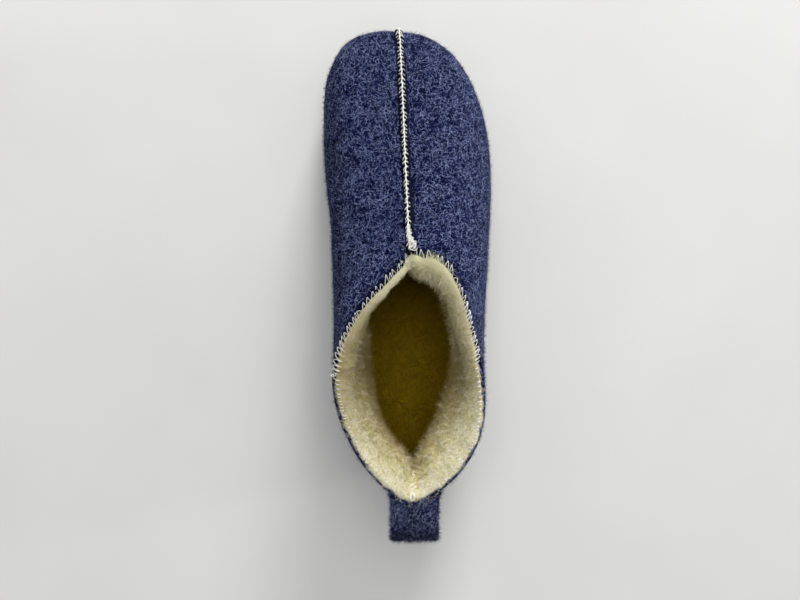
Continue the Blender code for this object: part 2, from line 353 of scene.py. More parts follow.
ROWS = section_rows()
CHORDS = np.linalg.norm(np.roll(ROWS[:, :2], -1, axis=0) - ROWS[:, :2], axis=1)
KNOTS = np.concatenate([[0], np.cumsum(CHORDS)])
GIRTH = KNOTS[-1]
HEEL_PLACE = KNOTS[len(MEDIAL) + 1]
section_at = closed_spline(KNOTS, ROWS)
print("girth along the lower edge:", round(GIRTH / MM, 1), "mm")


# %% Smooth wall of the upper
def outward(place):
    """Unit vectors in the floor plane that point out of the foot's outline."""
    tangent = unit(section_at(place + NUDGE)[:, :2] - section_at(place - NUDGE)[:, :2])
    return np.column_stack([tangent[:, 1], -tangent[:, 0], np.zeros(len(tangent))])


def base_surface(place, climb):
    """Points of the upper's smooth outer face: climb 0 is its lower edge, 1 is the collar."""
    section = section_at(place)
    lower = SOLE_TOP + toe_lift((section[:, 1] - HEEL_Y) / FOOT_LENGTH)
    foot = np.column_stack([section[:, 0:2], lower])
    collar = section[:, 2:5]
    rise, bulge, lean, reach = section[:, 5:9].T
    up = np.array([0, 0, 1.0])
    shoulder = foot + rise[:, None] * up + bulge[:, None] * outward(place)
    inwards = (collar - foot) * (1, 1, 0)
    inwards /= np.maximum(np.linalg.norm(inwards, axis=1), NEAR_COLLAR)[:, None]
    arriving = np.cos(lean)[:, None] * inwards + np.sin(lean)[:, None] * up
    before_collar = collar - reach[:, None] * arriving
    t = np.asarray(climb)[:, None]
    return (
        (1 - t) ** 3 * foot
        + 3 * (1 - t) ** 2 * t * shoulder
        + 3 * (1 - t) * t**2 * before_collar
        + t**3 * collar
    )


def wall_frame(place, climb):
    """Point, outward normal and direction of climbing, at each place round and share of the climb."""
    low, high = np.clip(climb - NUDGE, 0, 1), np.clip(climb + NUDGE, 0, 1)
    along = base_surface(place + NUDGE, climb) - base_surface(place - NUDGE, climb)
    rising = base_surface(place, high) - base_surface(place, low)
    return base_surface(place, climb), unit(np.cross(along, rising)), unit(rising)


def climb_below(place, drop):
    """Share of the climb at a drop below the collar, close to it."""
    return 1 - drop / (3 * section_at(place)[:, 8])


# %% [markdown]
# ## Relief of the felt
# The two front halves are turned out and overlocked together, which leaves a raised ridge from toe to
# collar with a shallow valley on each side. The back piece meets them at a flat side seam, pressed in a
# little, with a small nick in the collar. Soft creases sit where the foot bends the felt. They are listed one
# by one, each a soft trough, because a crease has its own place on a shoe and is not noise.

# %% Relief of the felt
RIDGE_HEIGHT = 2.1 * MM
RIDGE_HALF_WIDTH = 2.7 * MM
RIDGE_POWER = 5  # the higher, the flatter its top
RIDGE_START = 0.05
VALLEY_DEPTH, VALLEY_PLACE, VALLEY_WIDTH = 0.8 * MM, 3.1 * MM, 0.9 * MM
VALLEY_START = 0.30  # share of the climb where the valley starts
SEAM_PRESS, COLLAR_PRESS, PRESS_FADE = 2.7 * MM, 2.1 * MM, 1.0 * MM
SIDE_SEAM_DEPTH, SIDE_SEAM_WIDTH = 0.8 * MM, 1.5 * MM
NICK_DEPTH, NICK_WIDTH = 1.6 * MM, 1.6 * MM
NICK_FROM, NICK_SPAN = 0.94, 0.06  # shares of the climb over which a nick fades in
MEDIAL_NICK_Y, LATERAL_NICK_Y = -55.7 * MM, -49.7 * MM
BEHIND_FADE = 8 * MM

# Troughs seen from above: middle x and y, direction in degrees from +X, half length, half width and depth.
# All but the direction are in millimetres.
CREASES = (
    (-27, 58, 12, 17, 6.0, 0.8),
    (30, 66, -14, 18, 6.5, 0.8),
    (-31, 26, 35, 16, 5.0, 0.7),
    (35, 30, -38, 18, 5.5, 0.8),
    (-38, -18, 70, 20, 4.5, 0.8),
    (41, -14, -68, 20, 4.5, 0.8),
)
CREASE_SLOPE = 0.3  # creases fade out where the felt is steeper than this


def find_side_seam(start, collar_y):
    """Place round the foot, between start and the heel, whose section meets the collar at this y."""
    places = np.linspace(start, HEEL_PLACE, 400)
    falling = np.minimum.accumulate(section_at(places)[:, 3])
    return float(np.interp(-collar_y, -falling, places))


SIDE_SEAMS = [find_side_seam(0, MEDIAL_NICK_Y), find_side_seam(GIRTH, LATERAL_NICK_Y)]


def off_seam(place, climb):
    """Distance from the front seam, at the same share of the climb."""
    return np.linalg.norm(base_surface(place, climb) - base_surface(np.zeros_like(place), climb), axis=1)


def felt_relief(place, climb):
    """How far the felt's outer face stands off the smooth wall."""
    point, normal, _ = wall_frame(place, climb)
    off = off_seam(place, climb)
    start = smooth_step(climb / RIDGE_START)
    relief = RIDGE_HEIGHT * np.clip(1 - (off / RIDGE_HALF_WIDTH) ** RIDGE_POWER, 0, 1) * start
    valley = smooth_step((climb - VALLEY_START) / VALLEY_START)
    relief -= VALLEY_DEPTH * hump(off - VALLEY_PLACE, VALLEY_WIDTH) * valley
    for seam_place in SIDE_SEAMS:
        relief -= SIDE_SEAM_DEPTH * hump(place - seam_place, SIDE_SEAM_WIDTH)
    facing = smooth_step(normal[:, 2] / CREASE_SLOPE)
    for x, y, turn, half_length, half_width, depth in CREASES:
        along = np.array([math.cos(math.radians(turn)), math.sin(math.radians(turn))])
        away = point[:, :2] - np.array([x, y]) * MM
        lengthwise = away @ along / (half_length * MM)
        across = (away @ np.array([-along[1], along[0]])) / (half_width * MM)
        relief -= depth * MM * np.exp(-(lengthwise**2) - across**2) * facing
    return relief


def pressed_shade_share(place, climb):
    """1 where thread pulls the felt tight, by the front seam and the collar, and 0 a few millimetres away.
    There the felt is also painted dark, as painted shade between the stitches and under the fleece roll.
    """
    below = (1 - climb) * 3 * section_at(place)[:, 8]
    by_seam = 1 - smooth_step((off_seam(place, climb) - SEAM_PRESS) / PRESS_FADE)
    by_collar = 1 - smooth_step((below - COLLAR_PRESS) / PRESS_FADE)
    return np.maximum(by_seam, by_collar)


def nick_at(place):
    """How far the collar dips at the side seams."""
    return sum(NICK_DEPTH * hump(place - seam, NICK_WIDTH) for seam in SIDE_SEAMS)


def behind_seams(place):
    """1 behind the side seams, 0 ahead of them."""
    past_medial = smooth_step((place - SIDE_SEAMS[0]) / BEHIND_FADE)
    before_lateral = smooth_step((SIDE_SEAMS[1] - place) / BEHIND_FADE)
    return past_medial * before_lateral


def felt_point(place, climb, lift):
    """Points over the felt's outer face, with the seam's ridge and all relief."""
    place, climb = np.asarray(place, float), np.asarray(climb, float)
    point, normal, _ = wall_frame(place, climb)
    return point + (felt_relief(place, climb) + lift)[:, None] * normal


print("side seams at", [round(place / MM) for place in SIDE_SEAMS], "mm round from the toe")

# %% [markdown]
# ## Wool felt
# Felt is wool matted until the fibres lock. Dark and light blue wool are mixed, so close up it is a tangle
# of pale fibres over navy. It has no gloss, only a soft sheen of fibre ends at grazing angles. The cloth
# itself gets long thin noise in several directions; loose fibres follow as geometry.

# %% Wool felt material
FELT_FLECK = 0.6 * MM  # width of a matted tuft; one wool fibre, 0.03 mm, would not show
FLECK_STRETCH = 4.5
# Painted shade: the near-black given to the felt under the thread and to the loop's round end
DARK_SHADE_FELT = "#04071A"
BLUE_SHEEN = "#9AA6CC"
TURNS = ((0.3, 0.2, 0.4), (1.2, 0.9, 2.0), (2.3, 1.6, 0.9))


def make_wool(name, roughness, sheen_hex, sheen, gloss):
    """The shader that all wool here has: matt, and a little brighter at grazing angles."""
    return start_material(
        name,
        Roughness=roughness,
        Sheen_Weight=sheen,
        Sheen_Roughness=0.5,
        Sheen_Tint=linear(sheen_hex),
        Specular_IOR_Level=gloss,
    )


def make_felt(name, ramp):
    """Wool felt. Where a skin has a share named pressed_shade, thread has pulled it tight, and the felt is
    painted dark there as painted shade between the stitches and under the fleece roll.
    """
    felt = make_wool(name, 0.95, BLUE_SHEEN, 0.02, 0.08)
    coordinates = add_node(felt, "ShaderNodeTexCoord")
    stretch = (1 / FELT_FLECK, 1 / FELT_FLECK / FLECK_STRETCH, 1 / FELT_FLECK)
    flecks = []
    for turn in TURNS:
        turned = add_node(
            felt,
            "ShaderNodeMapping",
            {"Rotation": turn, "Scale": stretch},
            {"Vector": coordinates.outputs["Object"]},
        )
        fleck = add_node(
            felt,
            "ShaderNodeTexNoise",
            {"Scale": 1.0, "Detail": 2.0, "Distortion": 0.6},
            {"Vector": turned.outputs["Vector"]},
        )
        flecks.append(fleck.outputs["Fac"])
    strongest = flecks[0]
    for fleck in flecks[1:]:
        joined = add_node(felt, "ShaderNodeMath", links={0: strongest, 1: fleck}, operation="MAXIMUM")
        strongest = joined.outputs["Value"]
    shade_by(felt, strongest, ramp, (0.7, 0.5 * MM))
    pressed_shade = add_node(felt, "ShaderNodeAttribute", attribute_name="pressed_shade")
    mix_in(felt, pressed_shade.outputs["Fac"], DARK_SHADE_FELT)
    return felt


wool_felt = make_felt("blue wool felt", ((0.46, "#02031E"), (0.58, "#070C36"), (0.70, "#1A2458")))
# The loop's felt is paler than the shell's, as painted light for a strip that lies in the collar's shadow.
strip_felt_painted_light = make_felt("blue wool felt strip", ((0.46, "#03051A"), (0.58, "#0F1434"), (0.70, "#363D66")))
print("felt materials:", wool_felt.name, "and", strip_felt_painted_light.name)

# %% [markdown]
# ## Felt shell
# The shell could be a sheet with Solidify, but its collar edge is soft and round and its outside carries
# relief that its inside doesn't have. So a flat grid is added and rolled up: each of its columns becomes the
# wall's closed profile at one section, up the outside, over a round edge and down the inside, and merging by
# distance welds its edges into one closed skin. A torus would do, but it has at most 256 segments.

# %% Felt shell
SHELL_OUTER, SHELL_EDGE, SHELL_INNER = 88, 5, 16  # rows up the outside, over the edge and down the inside
SHELL_BESIDE = (0.5, 1.0, 1.4, 1.8, 2.1, 2.4, 2.8, 3.3, 4.0, 5.0, 6.5)
SHELL_STEP = 2.3 * MM
# Behind the side seams the felt's edge is less pressed: more loose hair grows there, and it is painted less
# dark.
LOOSER_LESS_SHADED_EDGE = 0.7  # behind the side seams the thread leaves the felt's edge this much looser
LUMP_SIZE, LUMP_HEIGHT = 13 * MM, 0.35 * MM
NUB_SIZE, NUB_HEIGHT = 2.6 * MM, 0.16 * MM
LUMPS_FROM = 0.1  # the lowest share of the climb is smooth, where the sole holds it
MERGE = 1e-7


def places_round(beside, step):
    """Places round the lower edge: given distances beside the front seam, then even steps."""
    near = np.array(beside) * MM
    count = round((GIRTH - 2 * near[-1]) / step)
    even = np.linspace(near[-1], GIRTH - near[-1], count + 1)
    return np.concatenate([[0], near[:-1], even, (GIRTH - near[:-1])[::-1]])


def cloth_noise(points, size):
    """Smooth noise between -1 and 1 at each point, with lumps of about this size."""
    return np.array([noise.noise(Vector(point / size)) for point in points])


def read_rows(items, name, width, kind=np.float32):
    """One property of all points, corners or faces of a mesh as an array with rows of this width."""
    flat = np.empty(len(items) * width, dtype=kind)
    items.foreach_get(name, flat)
    return flat.reshape(-1, width)


def set_points(piece, points):
    """Moves every point of a piece's mesh."""
    piece.data.vertices.foreach_set("co", points.astype(np.float32).ravel())
    piece.data.update()


def weld():
    """Merges doubled points of the active piece and turns its faces outward."""
    bpy.ops.object.mode_set(mode="EDIT")
    bpy.ops.mesh.select_all(action="SELECT")
    bpy.ops.mesh.remove_doubles(threshold=MERGE)
    bpy.ops.mesh.normals_make_consistent(inside=False)
    bpy.ops.object.mode_set(mode="OBJECT")


def closed_skin(points, mark, marks):
    """A grid moved to columns and rows of points, then welded both ways. Each point keeps its mark."""
    columns, rows = points.shape[:2]
    bpy.ops.object.select_all(action="DESELECT")
    bpy.ops.mesh.primitive_grid_add(x_subdivisions=columns, y_subdivisions=rows, size=2)
    piece = bpy.context.object
    across, along, _ = read_rows(piece.data.vertices, "co", 3).T
    column = np.rint((across + 1) / 2 * columns).astype(int) % columns
    row = np.rint((along + 1) / 2 * rows).astype(int) % rows
    set_points(piece, points[column, row])
    kept = piece.data.attributes.new(mark, "FLOAT", "POINT").data
    kept.foreach_set("value", marks[column, row].astype(np.float32))
    weld()
    return piece


def wall_grid(places, climbs):
    """Every place at every climb: places, climbs, points, normals and the pull of the nicks on each."""
    place, climb = [grid.ravel() for grid in np.meshgrid(places, climbs, indexing="ij")]
    point, normal, rising = wall_frame(place, climb)
    dip = nick_at(place) * smooth_step((climb - NICK_FROM) / NICK_SPAN)
    return place, climb, point, normal, dip[:, None] * rising


def shell_points():
    """Columns and rows of points of the felt's closed skin, and how far each is pressed and painted dark as
    shade.
    """
    places = places_round(SHELL_BESIDE, SHELL_STEP)
    columns = len(places)
    place, climb, point, normal, dip = wall_grid(places, np.linspace(0, 1, SHELL_OUTER))
    relief = felt_relief(place, climb)
    above_sole = smooth_step(climb / LUMPS_FROM)
    relief += LUMP_HEIGHT * cloth_noise(point, LUMP_SIZE) * above_sole
    relief += NUB_HEIGHT * cloth_noise(point, NUB_SIZE) * above_sole
    outside = (point + relief[:, None] * normal - dip).reshape(columns, -1, 3)
    pressed_shade = np.ones((columns, SHELL_OUTER + SHELL_EDGE + SHELL_INNER))
    pressed_shade[:, :SHELL_OUTER] = pressed_shade_share(place, climb).reshape(columns, -1)
    pressed_shade[:, : SHELL_OUTER + SHELL_EDGE] *= 1 - LOOSER_LESS_SHADED_EDGE * behind_seams(places)[:, None]

    top, top_normal, top_rising = wall_frame(places, np.ones(columns))
    top = top - nick_at(places)[:, None] * top_rising
    edge = [
        top - top_normal * FELT / 2 * (1 - math.cos(turn)) + top_rising * FELT / 3 * math.sin(turn)
        for turn in np.linspace(0, math.pi, SHELL_EDGE + 2)[1:-1]
    ]
    _, _, point, normal, dip = wall_grid(places, np.linspace(1, 0, SHELL_INNER))
    inside = (point - FELT * normal - dip).reshape(columns, -1, 3)
    return np.concatenate([outside, np.stack(edge, axis=1), inside], axis=1), pressed_shade


shell_grid, shell_pressed_shade = shell_points()
felt_upper = closed_skin(shell_grid, "pressed_shade", shell_pressed_shade)
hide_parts("upper")
finish_piece(felt_upper, "felt_upper", wool_felt)

# %% [markdown]
# ## Fibres
# Loose wool fibres catch the light as short pale streaks and blur every outline. A particle system would
# have to be converted, so the fibres are made directly: each is one slim kite-shaped face that starts
# somewhere on a piece, follows its surface and lifts a little. All fibres of a piece are one mesh. Each
# keeps a tone from 0, dark, to 1, pale, as an attribute that its material reads.

# %% Fibre helpers
# Fibres of one tone at one height have one colour, so they share one spot of their map, this large.
MAP_EDGE, MAP_SPOT = 0.02, 0.004
STRAY = 0.75  # how far hairs stray from the way they are brushed
LIFT_RANGE = (0.4, 1.6)
TONE_SPREAD = 0.08
MOTTLE, MOTTLE_SIZE = 0.09, 9 * MM  # wool of one tone gathers in soft clouds
TINY, SHORTEST = 1e-12, 1e-9


def carrier_arrays(carrier, mark=None):
    """Corner points, corner normals and highest mark of a piece's triangles, and a tree of its surface."""
    mesh = carrier.data
    mesh.calc_loop_triangles()
    corners = read_rows(mesh.loop_triangles, "vertices", 3, np.int32)
    points = read_rows(mesh.vertices, "co", 3).astype(float)
    normals = read_rows(mesh.vertex_normals, "vector", 3).astype(float)
    marks = read_rows(mesh.attributes[mark].data, "value", 1)[:, 0] if mark else np.zeros(len(points))
    tree = BVHTree.FromPolygons(points.tolist(), corners.tolist())
    return points[corners], normals[corners], marks[corners].max(axis=1), tree


def scatter_roots(triangles, normals, marks, count, keep, rng):
    """Random points over the triangles that keep() weighs, even by area, with their normals."""
    middle = triangles.mean(axis=1)
    facing = np.cross(triangles[:, 1] - triangles[:, 0], triangles[:, 2] - triangles[:, 0])
    area = np.linalg.norm(facing, axis=1)
    weight = area * keep(middle, facing / np.maximum(area, TINY)[:, None], marks)
    chosen = rng.choice(len(weight), size=count, p=weight / weight.sum())
    first, second = rng.random(count), rng.random(count)
    fold = first + second > 1
    first[fold], second[fold] = 1 - first[fold], 1 - second[fold]
    share = np.column_stack([1 - first - second, first, second])[:, :, None]
    return (triangles[chosen] * share).sum(axis=1), unit((normals[chosen] * share).sum(axis=1))


def add_object(name, data):
    """A new object that is alone selected and active."""
    bpy.ops.object.select_all(action="DESELECT")
    piece = bpy.data.objects.new(name, data)
    bpy.context.scene.collection.objects.link(piece)
    piece.select_set(True)
    bpy.context.view_layer.objects.active = piece
    return piece


def kite_mesh(name, spine, sideways, tone):
    """One mesh of kites: spine is root, middle and tip of each, sideways half its width in the middle."""
    count = len(spine)
    points = np.stack([spine[:, 0], spine[:, 1] - sideways, spine[:, 2], spine[:, 1] + sideways], axis=1)
    mesh = bpy.data.meshes.new(name)
    mesh.from_pydata(points.reshape(-1, 3).tolist(), [], np.arange(count * 4).reshape(-1, 4).tolist())
    mesh.attributes.new("tone", "FLOAT", "POINT").data.foreach_set("value", np.repeat(tone, 4))
    height = spine[:, 0, 2]
    spot = np.column_stack([tone, (height - height.min()) / np.ptp(height)]) * (1 - 2 * MAP_EDGE) + MAP_EDGE
    corners = np.array([(-1, 0), (0, -1), (1, 0), (0, 1)]) * MAP_SPOT
    uv = (spot[:, None] + corners[None]).astype(np.float32)
    mesh.uv_layers.new(name="OFBake").data.foreach_set("uv", uv.ravel())
    return add_object(name, mesh)


def make_fibres(name, carrier, look, slot, count, seed, length, width, lift, bend, keep, tones, flow=None):
    """Fibres over a carrier, sized in millimetres. length and width are ranges, lift the height at root,
    middle and tip. keep() weighs where they grow, tones gives each tone's share, flow() the way they lie."""
    rng = np.random.default_rng(seed)
    triangles, normals, marks, tree = carrier
    root, normal = scatter_roots(triangles, normals, marks, count, keep, rng)
    loose = rng.normal(size=(count, 3))
    heading = loose if flow is None else flow(root, normal) + STRAY * loose
    heading = unit(heading - (heading * normal).sum(axis=1)[:, None] * normal)
    side = np.cross(normal, heading)
    long = rng.uniform(*(np.array(length) * MM), count)[:, None]
    curl = rng.normal(0, bend, count)[:, None]
    lifts = np.array(lift) * MM * rng.uniform(*LIFT_RANGE, count)[:, None]
    spine = np.empty((count, 3, 3))
    for step, share in enumerate((0.0, 0.5, 1.0)):
        flat = root + long * (heading * share + side * curl * share * (1 - share))
        for n, point in enumerate(flat):
            near, facing, _, _ = tree.find_nearest(point)
            spine[n, step] = near + facing * lifts[n, step]
    half = rng.uniform(*(np.array(width) * MM), count)[:, None] / 2
    across = np.cross(spine[:, 2] - spine[:, 0], normal)
    across /= np.maximum(np.linalg.norm(across, axis=1), SHORTEST)[:, None]
    tone = rng.choice(np.array([value for value, _ in tones]), count, p=[share for _, share in tones])
    tone = tone + rng.normal(0, TONE_SPREAD, count) + MOTTLE * cloth_noise(root, MOTTLE_SIZE)
    finish_piece(kite_mesh(name, spine, across * half, np.clip(tone, 0, 1)), name, look)


def make_fibre_material(name, ramp, sheen_hex, sheen):
    """Wool fibre, its colour read from its tone."""
    wool = make_wool(name, 0.9, sheen_hex, sheen, 0.08)
    tone = add_node(wool, "ShaderNodeAttribute", attribute_name="tone")
    shade_by(wool, tone.outputs["Fac"], ramp)
    return wool


# %% Felt fibres
BLUE_RAMP = ((0.0, "#01021A"), (0.35, "#060B33"), (0.7, "#1E2A62"), (1.0, "#94A1CC"))
FELT_TONES = ((0.0, 0.53), (0.36, 0.20), (0.72, 0.14), (1.0, 0.13))
FUZZ_TONES = ((0.35, 0.50), (0.70, 0.34), (1.0, 0.16))
HAIR_TONES = ((0.8, 0.6), (1.0, 0.4))
BRUSHED = np.array([0.10, 0.55, 0])  # the fibres lie a little more along the foot than across it
MATTED_BELOW, LOOSE_BELOW = 0.5, 0.9  # fibres and loose hairs grow where the felt is pressed less than this


def brushed(root, normal):
    return BRUSHED


def medial_felt(middle, facing, pressed_shade):
    return (pressed_shade < MATTED_BELOW) & (middle[:, 0] < 0)


def lateral_felt(middle, facing, pressed_shade):
    return (pressed_shade < MATTED_BELOW) & (middle[:, 0] > 0)


def unpressed(middle, facing, pressed_shade):
    return pressed_shade < LOOSE_BELOW


# Matted fibres on each half, then short hairs that stand off and long pale ones that lie on top.
# Name, count, seed, length, width, lift, bend, where they grow, tones and flow.
MATTED = ((1.0, 3.4), (0.15, 0.30), (0, 0.30, 0.25), 0.15)
FELT_WOOL = (
    ("felt_fibres_medial", 96000, 11, *MATTED, medial_felt, FELT_TONES, brushed),
    ("felt_fibres_lateral", 96000, 12, *MATTED, lateral_felt, FELT_TONES, brushed),
    ("felt_fuzz", 26000, 13, (1.5, 4.5), (0.14, 0.24), (0.0, 0.6, 1.6), 0.6, unpressed, FUZZ_TONES),
    ("felt_hairs", 7000, 14, (6, 13), (0.11, 0.17), (0.1, 0.5, 0.7), 0.6, unpressed, HAIR_TONES),
)
blue_wool = make_fibre_material("blue wool fibre", BLUE_RAMP, BLUE_SHEEN, 0.02)
shell = carrier_arrays(felt_upper, "pressed_shade")
for name, *row in FELT_WOOL:
    make_fibres(name, shell, blue_wool, "felt", *row)

# %% [markdown]
# ## Fleece lining
# The lining is wool fleece, about 7 mm deep, sewn in with the collar so that it rolls over the felt's edge.
# It is made like the shell: rings whose profile starts on the edge, rolls over it, runs down the inside to
# the insole and returns behind, against the felt. At the collar the roll leans to the middle of the
# opening; lower down it follows the wall.

# %% Fleece lining
LINING_BESIDE = (1.5, 3.0, 4.5)
LINING_STEP = 2.2 * MM
# Depth from the felt's outer face and drop below the collar, in millimetres, over the roll.
ROLL = (
    (2.4, 0.9), (1.8, 0.0), (1.9, -0.9), (2.6, -1.6), (3.6, -1.8), (4.6, -1.2), (5.4, 0.3), (6.1, 2.6),
    (6.8, 5.6), (7.6, 9.5), (8.4, 14.5), (9.2, 20.5), (10.0, 28.0),
)
ROLL_OUT = 0.45 * MM  # the roll lies this much further out behind the side seams
LINING_ROWS, BACKING_ROWS = 34, 9
# How full the fleece is at shares of the way round the collar from the front, medial side first: by the
# collar and by the foot. It is thin on the medial front, fullest on the lateral front, and has a crease at
# the middle of the heel.
FULL = (
    (0.000, 1.45, 1.20),
    (0.022, 0.72, 1.20),
    (0.045, 0.44, 1.20),
    (0.090, 0.95, 1.20),
    (0.130, 1.30, 1.35),
    (0.170, 1.60, 1.45),
    (0.210, 1.70, 1.50),
    (0.260, 1.50, 1.35),
    (0.300, 1.40, 1.25),
    (0.340, 1.30, 1.08),
    (0.420, 1.42, 1.15),
    (0.470, 1.46, 1.22),
    (0.498, 1.08, 0.90),
    (0.530, 1.55, 1.40),
    (0.590, 1.85, 1.25),
    (0.650, 1.90, 1.00),
    (0.720, 1.45, 1.10),
    (0.800, 1.60, 1.30),
    (0.870, 1.80, 1.30),
    (0.920, 2.00, 1.30),
    (0.960, 2.35, 1.30),
    (0.985, 2.05, 1.25),
)
LINING_DEPTH, LINING_FOOT_DEPTH = 10.0 * MM, 9.6 * MM
LINING_FOOT = 0.05
BACKING_DEPTH = FELT + 0.3 * MM
BACKING_TOP = 0.99
ROLL_LEAN, ROLL_LEAN_END = 0.75, 45 * MM
WALL_HEIGHT = 90 * MM
NICK_END = 6 * MM
NICK_PULL = 0.9  # the side seams pull the roll in by this share of the nick's depth
FULL_FADE = 0.6  # the fullness of the collar is gone this share of the way down
OPENING_SPINE = ((2.5 * MM, -95 * MM), (2.5 * MM, -28 * MM))
TUFT_SIZE, TUFT_HEIGHT = 6.0 * MM, 0.60 * MM
SMALL_TUFT, SMALL_TUFT_SHARE = TUFT_SIZE / 2.3, 0.7


def towards_opening(points):
    """Unit vectors in plan from each point to the middle line of the collar's opening."""
    (spine_x, rear), (_, front) = OPENING_SPINE
    middle = np.column_stack([np.full(len(points), spine_x), np.clip(points[:, 1], rear, front)])
    return np.column_stack([unit(middle - points[:, :2]), np.zeros(len(points))])


collar_place = np.linspace(0, GIRTH, 3000)
collar_run = run_along(base_surface(collar_place, np.ones(len(collar_place))))
COLLAR_LENGTH = collar_run[-1]
full_at = closed_spline(np.array([*[row[0] for row in FULL], 1.0]), np.array(FULL)[:, 1:])


def lean_at(drop):
    """How far the fleece leans to the opening instead of off the wall, at a drop below the collar."""
    return float(ROLL_LEAN * (1 - smooth_step(drop / ROLL_LEAN_END)))


def lining_points():
    """Columns and rows of points of the lining's closed skin: roll, wool side and backing."""
    places = places_round(LINING_BESIDE, LINING_STEP)
    columns = len(places)
    by_collar, by_foot = full_at(np.interp(places, collar_place, collar_run / COLLAR_LENGTH)).T
    leaning = towards_opening(base_surface(places, np.ones(columns)))
    nick = nick_at(places)
    behind = behind_seams(places)

    def row(depth, climb, drop, lean, full):
        point, normal, rising = wall_frame(places, np.broadcast_to(climb, columns))
        inward = unit(-normal * (1 - lean) + leaning * lean) if lean else -normal
        above = max(-drop, 0.0)
        inside = smooth_step((depth - FELT) / FELT)
        puffed = depth * (1 + (full - 1) * inside) + (NICK_PULL * nick - ROLL_OUT * behind) * (1 - inside)
        return point + inward * puffed[:, None] + rising * (above - nick * (drop < NICK_END))[:, None]

    rows = []
    for depth, drop in np.array(ROLL) * MM:
        rows.append(row(depth, climb_below(places, max(drop, 0.0)), drop, lean_at(drop), by_collar))
    last_drop = ROLL[-1][1] * MM
    last = climb_below(places, last_drop)
    for share in np.linspace(0, 1, LINING_ROWS + 1)[1:]:
        depth = LINING_DEPTH + (LINING_FOOT_DEPTH - LINING_DEPTH) * share
        full = by_collar + (by_foot - by_collar) * smooth_step(share / FULL_FADE)
        climb = last + (LINING_FOOT - last) * share
        rows.append(row(depth, climb, last_drop, lean_at(last_drop + share * WALL_HEIGHT), full))
    for share in np.linspace(0, 1, BACKING_ROWS):
        climb = LINING_FOOT + (BACKING_TOP - LINING_FOOT) * share
        rows.append(row(BACKING_DEPTH, climb, last_drop, 0, np.ones(columns)))
    return np.stack(rows, axis=1)


def tufted(points, visible_rows):
    """Moves the visible rows in and out by soft tufts, along the way from the row behind."""
    shaped = points.copy()
    face = points[:, :visible_rows].reshape(-1, 3)
    ahead = np.roll(points, -1, axis=0)[:, :visible_rows] - np.roll(points, 1, axis=0)[:, :visible_rows]
    down = points[:, 1 : visible_rows + 1] - np.roll(points, 1, axis=1)[:, :visible_rows]
    normal = np.cross(down.reshape(-1, 3), ahead.reshape(-1, 3))
    normal /= np.maximum(np.linalg.norm(normal, axis=1), TINY)[:, None]
    tuft = cloth_noise(face, TUFT_SIZE) + SMALL_TUFT_SHARE * cloth_noise(face, SMALL_TUFT)
    shaped[:, :visible_rows] += (normal * TUFT_HEIGHT * tuft[:, None]).reshape(-1, visible_rows, 3)
    return shaped


# Colours of painted shade and painted light in the fleece: shade on the side walls, yellow shade deep in the
# boot, light at the front.
SHADED_WOOL, DEEP_SHADE_WOOL, PAINTED_LIGHT_WOOL = "#8A7628", "#CDAE36", "#F1EFD0"
CREAM_SHEEN = "#FFF6DC"
FLEECE_RAMP = ((0.32, "#BCB06E"), (0.5, "#D3C98E"), (0.66, "#E4DCB0"))
# Every row below is painted shade or painted light.
# Axis along which another colour is mixed in, where that starts and is complete, its share and the colour.
FLEECE_PAINTED_SHADE = (
    ("Y", -88 * MM, -58 * MM, 0.48, SHADED_WOOL),
    ("X", -22 * MM, -42 * MM, 0.50, SHADED_WOOL),
    ("Y", -22 * MM, 0 * MM, 0.85, PAINTED_LIGHT_WOOL),
    ("Z", 94 * MM, 42 * MM, 0.90, DEEP_SHADE_WOOL),
)


def paint_fleece_shade(look):
    """Paints light and shade into the fleece: darker on the walls ahead of the heel and more on the medial
    side, paler at the front, and darker and yellower deep in the boot.
    """
    for shade_mix in FLEECE_PAINTED_SHADE:
        mix_along(look, *shade_mix)


fleece = make_wool("cream wool fleece", 0.95, CREAM_SHEEN, 0.12, 0.15)
grained(fleece, 2.4 * MM, 4.0, 1.2, FLEECE_RAMP, (0.8, 1.0 * MM))
paint_fleece_shade(fleece)
lining_grid = tufted(lining_points(), len(ROLL) + LINING_ROWS)
lining_rows = np.broadcast_to(np.arange(lining_grid.shape[1]), lining_grid.shape[:2])
lining = closed_skin(lining_grid, "row", lining_rows)
finish_piece(lining, "fleece_lining", fleece)

# %% [markdown]
# ## Fleece pile
# The pile is hair again: dense short hair all over, paler hair on the roll, long loose wisps and a tuft of
# pulled fleece on the lateral front. The wisps and the tuft take the roll's paler tones, as painted light for
# the front of the lining, which lies in the collar's shade. Hairs of fleece lean together into locks, so
# their way is taken from the slope of a smooth noise. Under the bar tack inside the heel the pile is held
# flat.

# %% Fleece pile
CREAM_RAMP = ((0.0, "#A89B54"), (0.4, "#CABF80"), (0.75, "#E3DBAE"), (1.0, "#FCF9EC"))
PILE_TONES = ((0.2, 0.25), (0.5, 0.3), (0.75, 0.25), (1.0, 0.2))
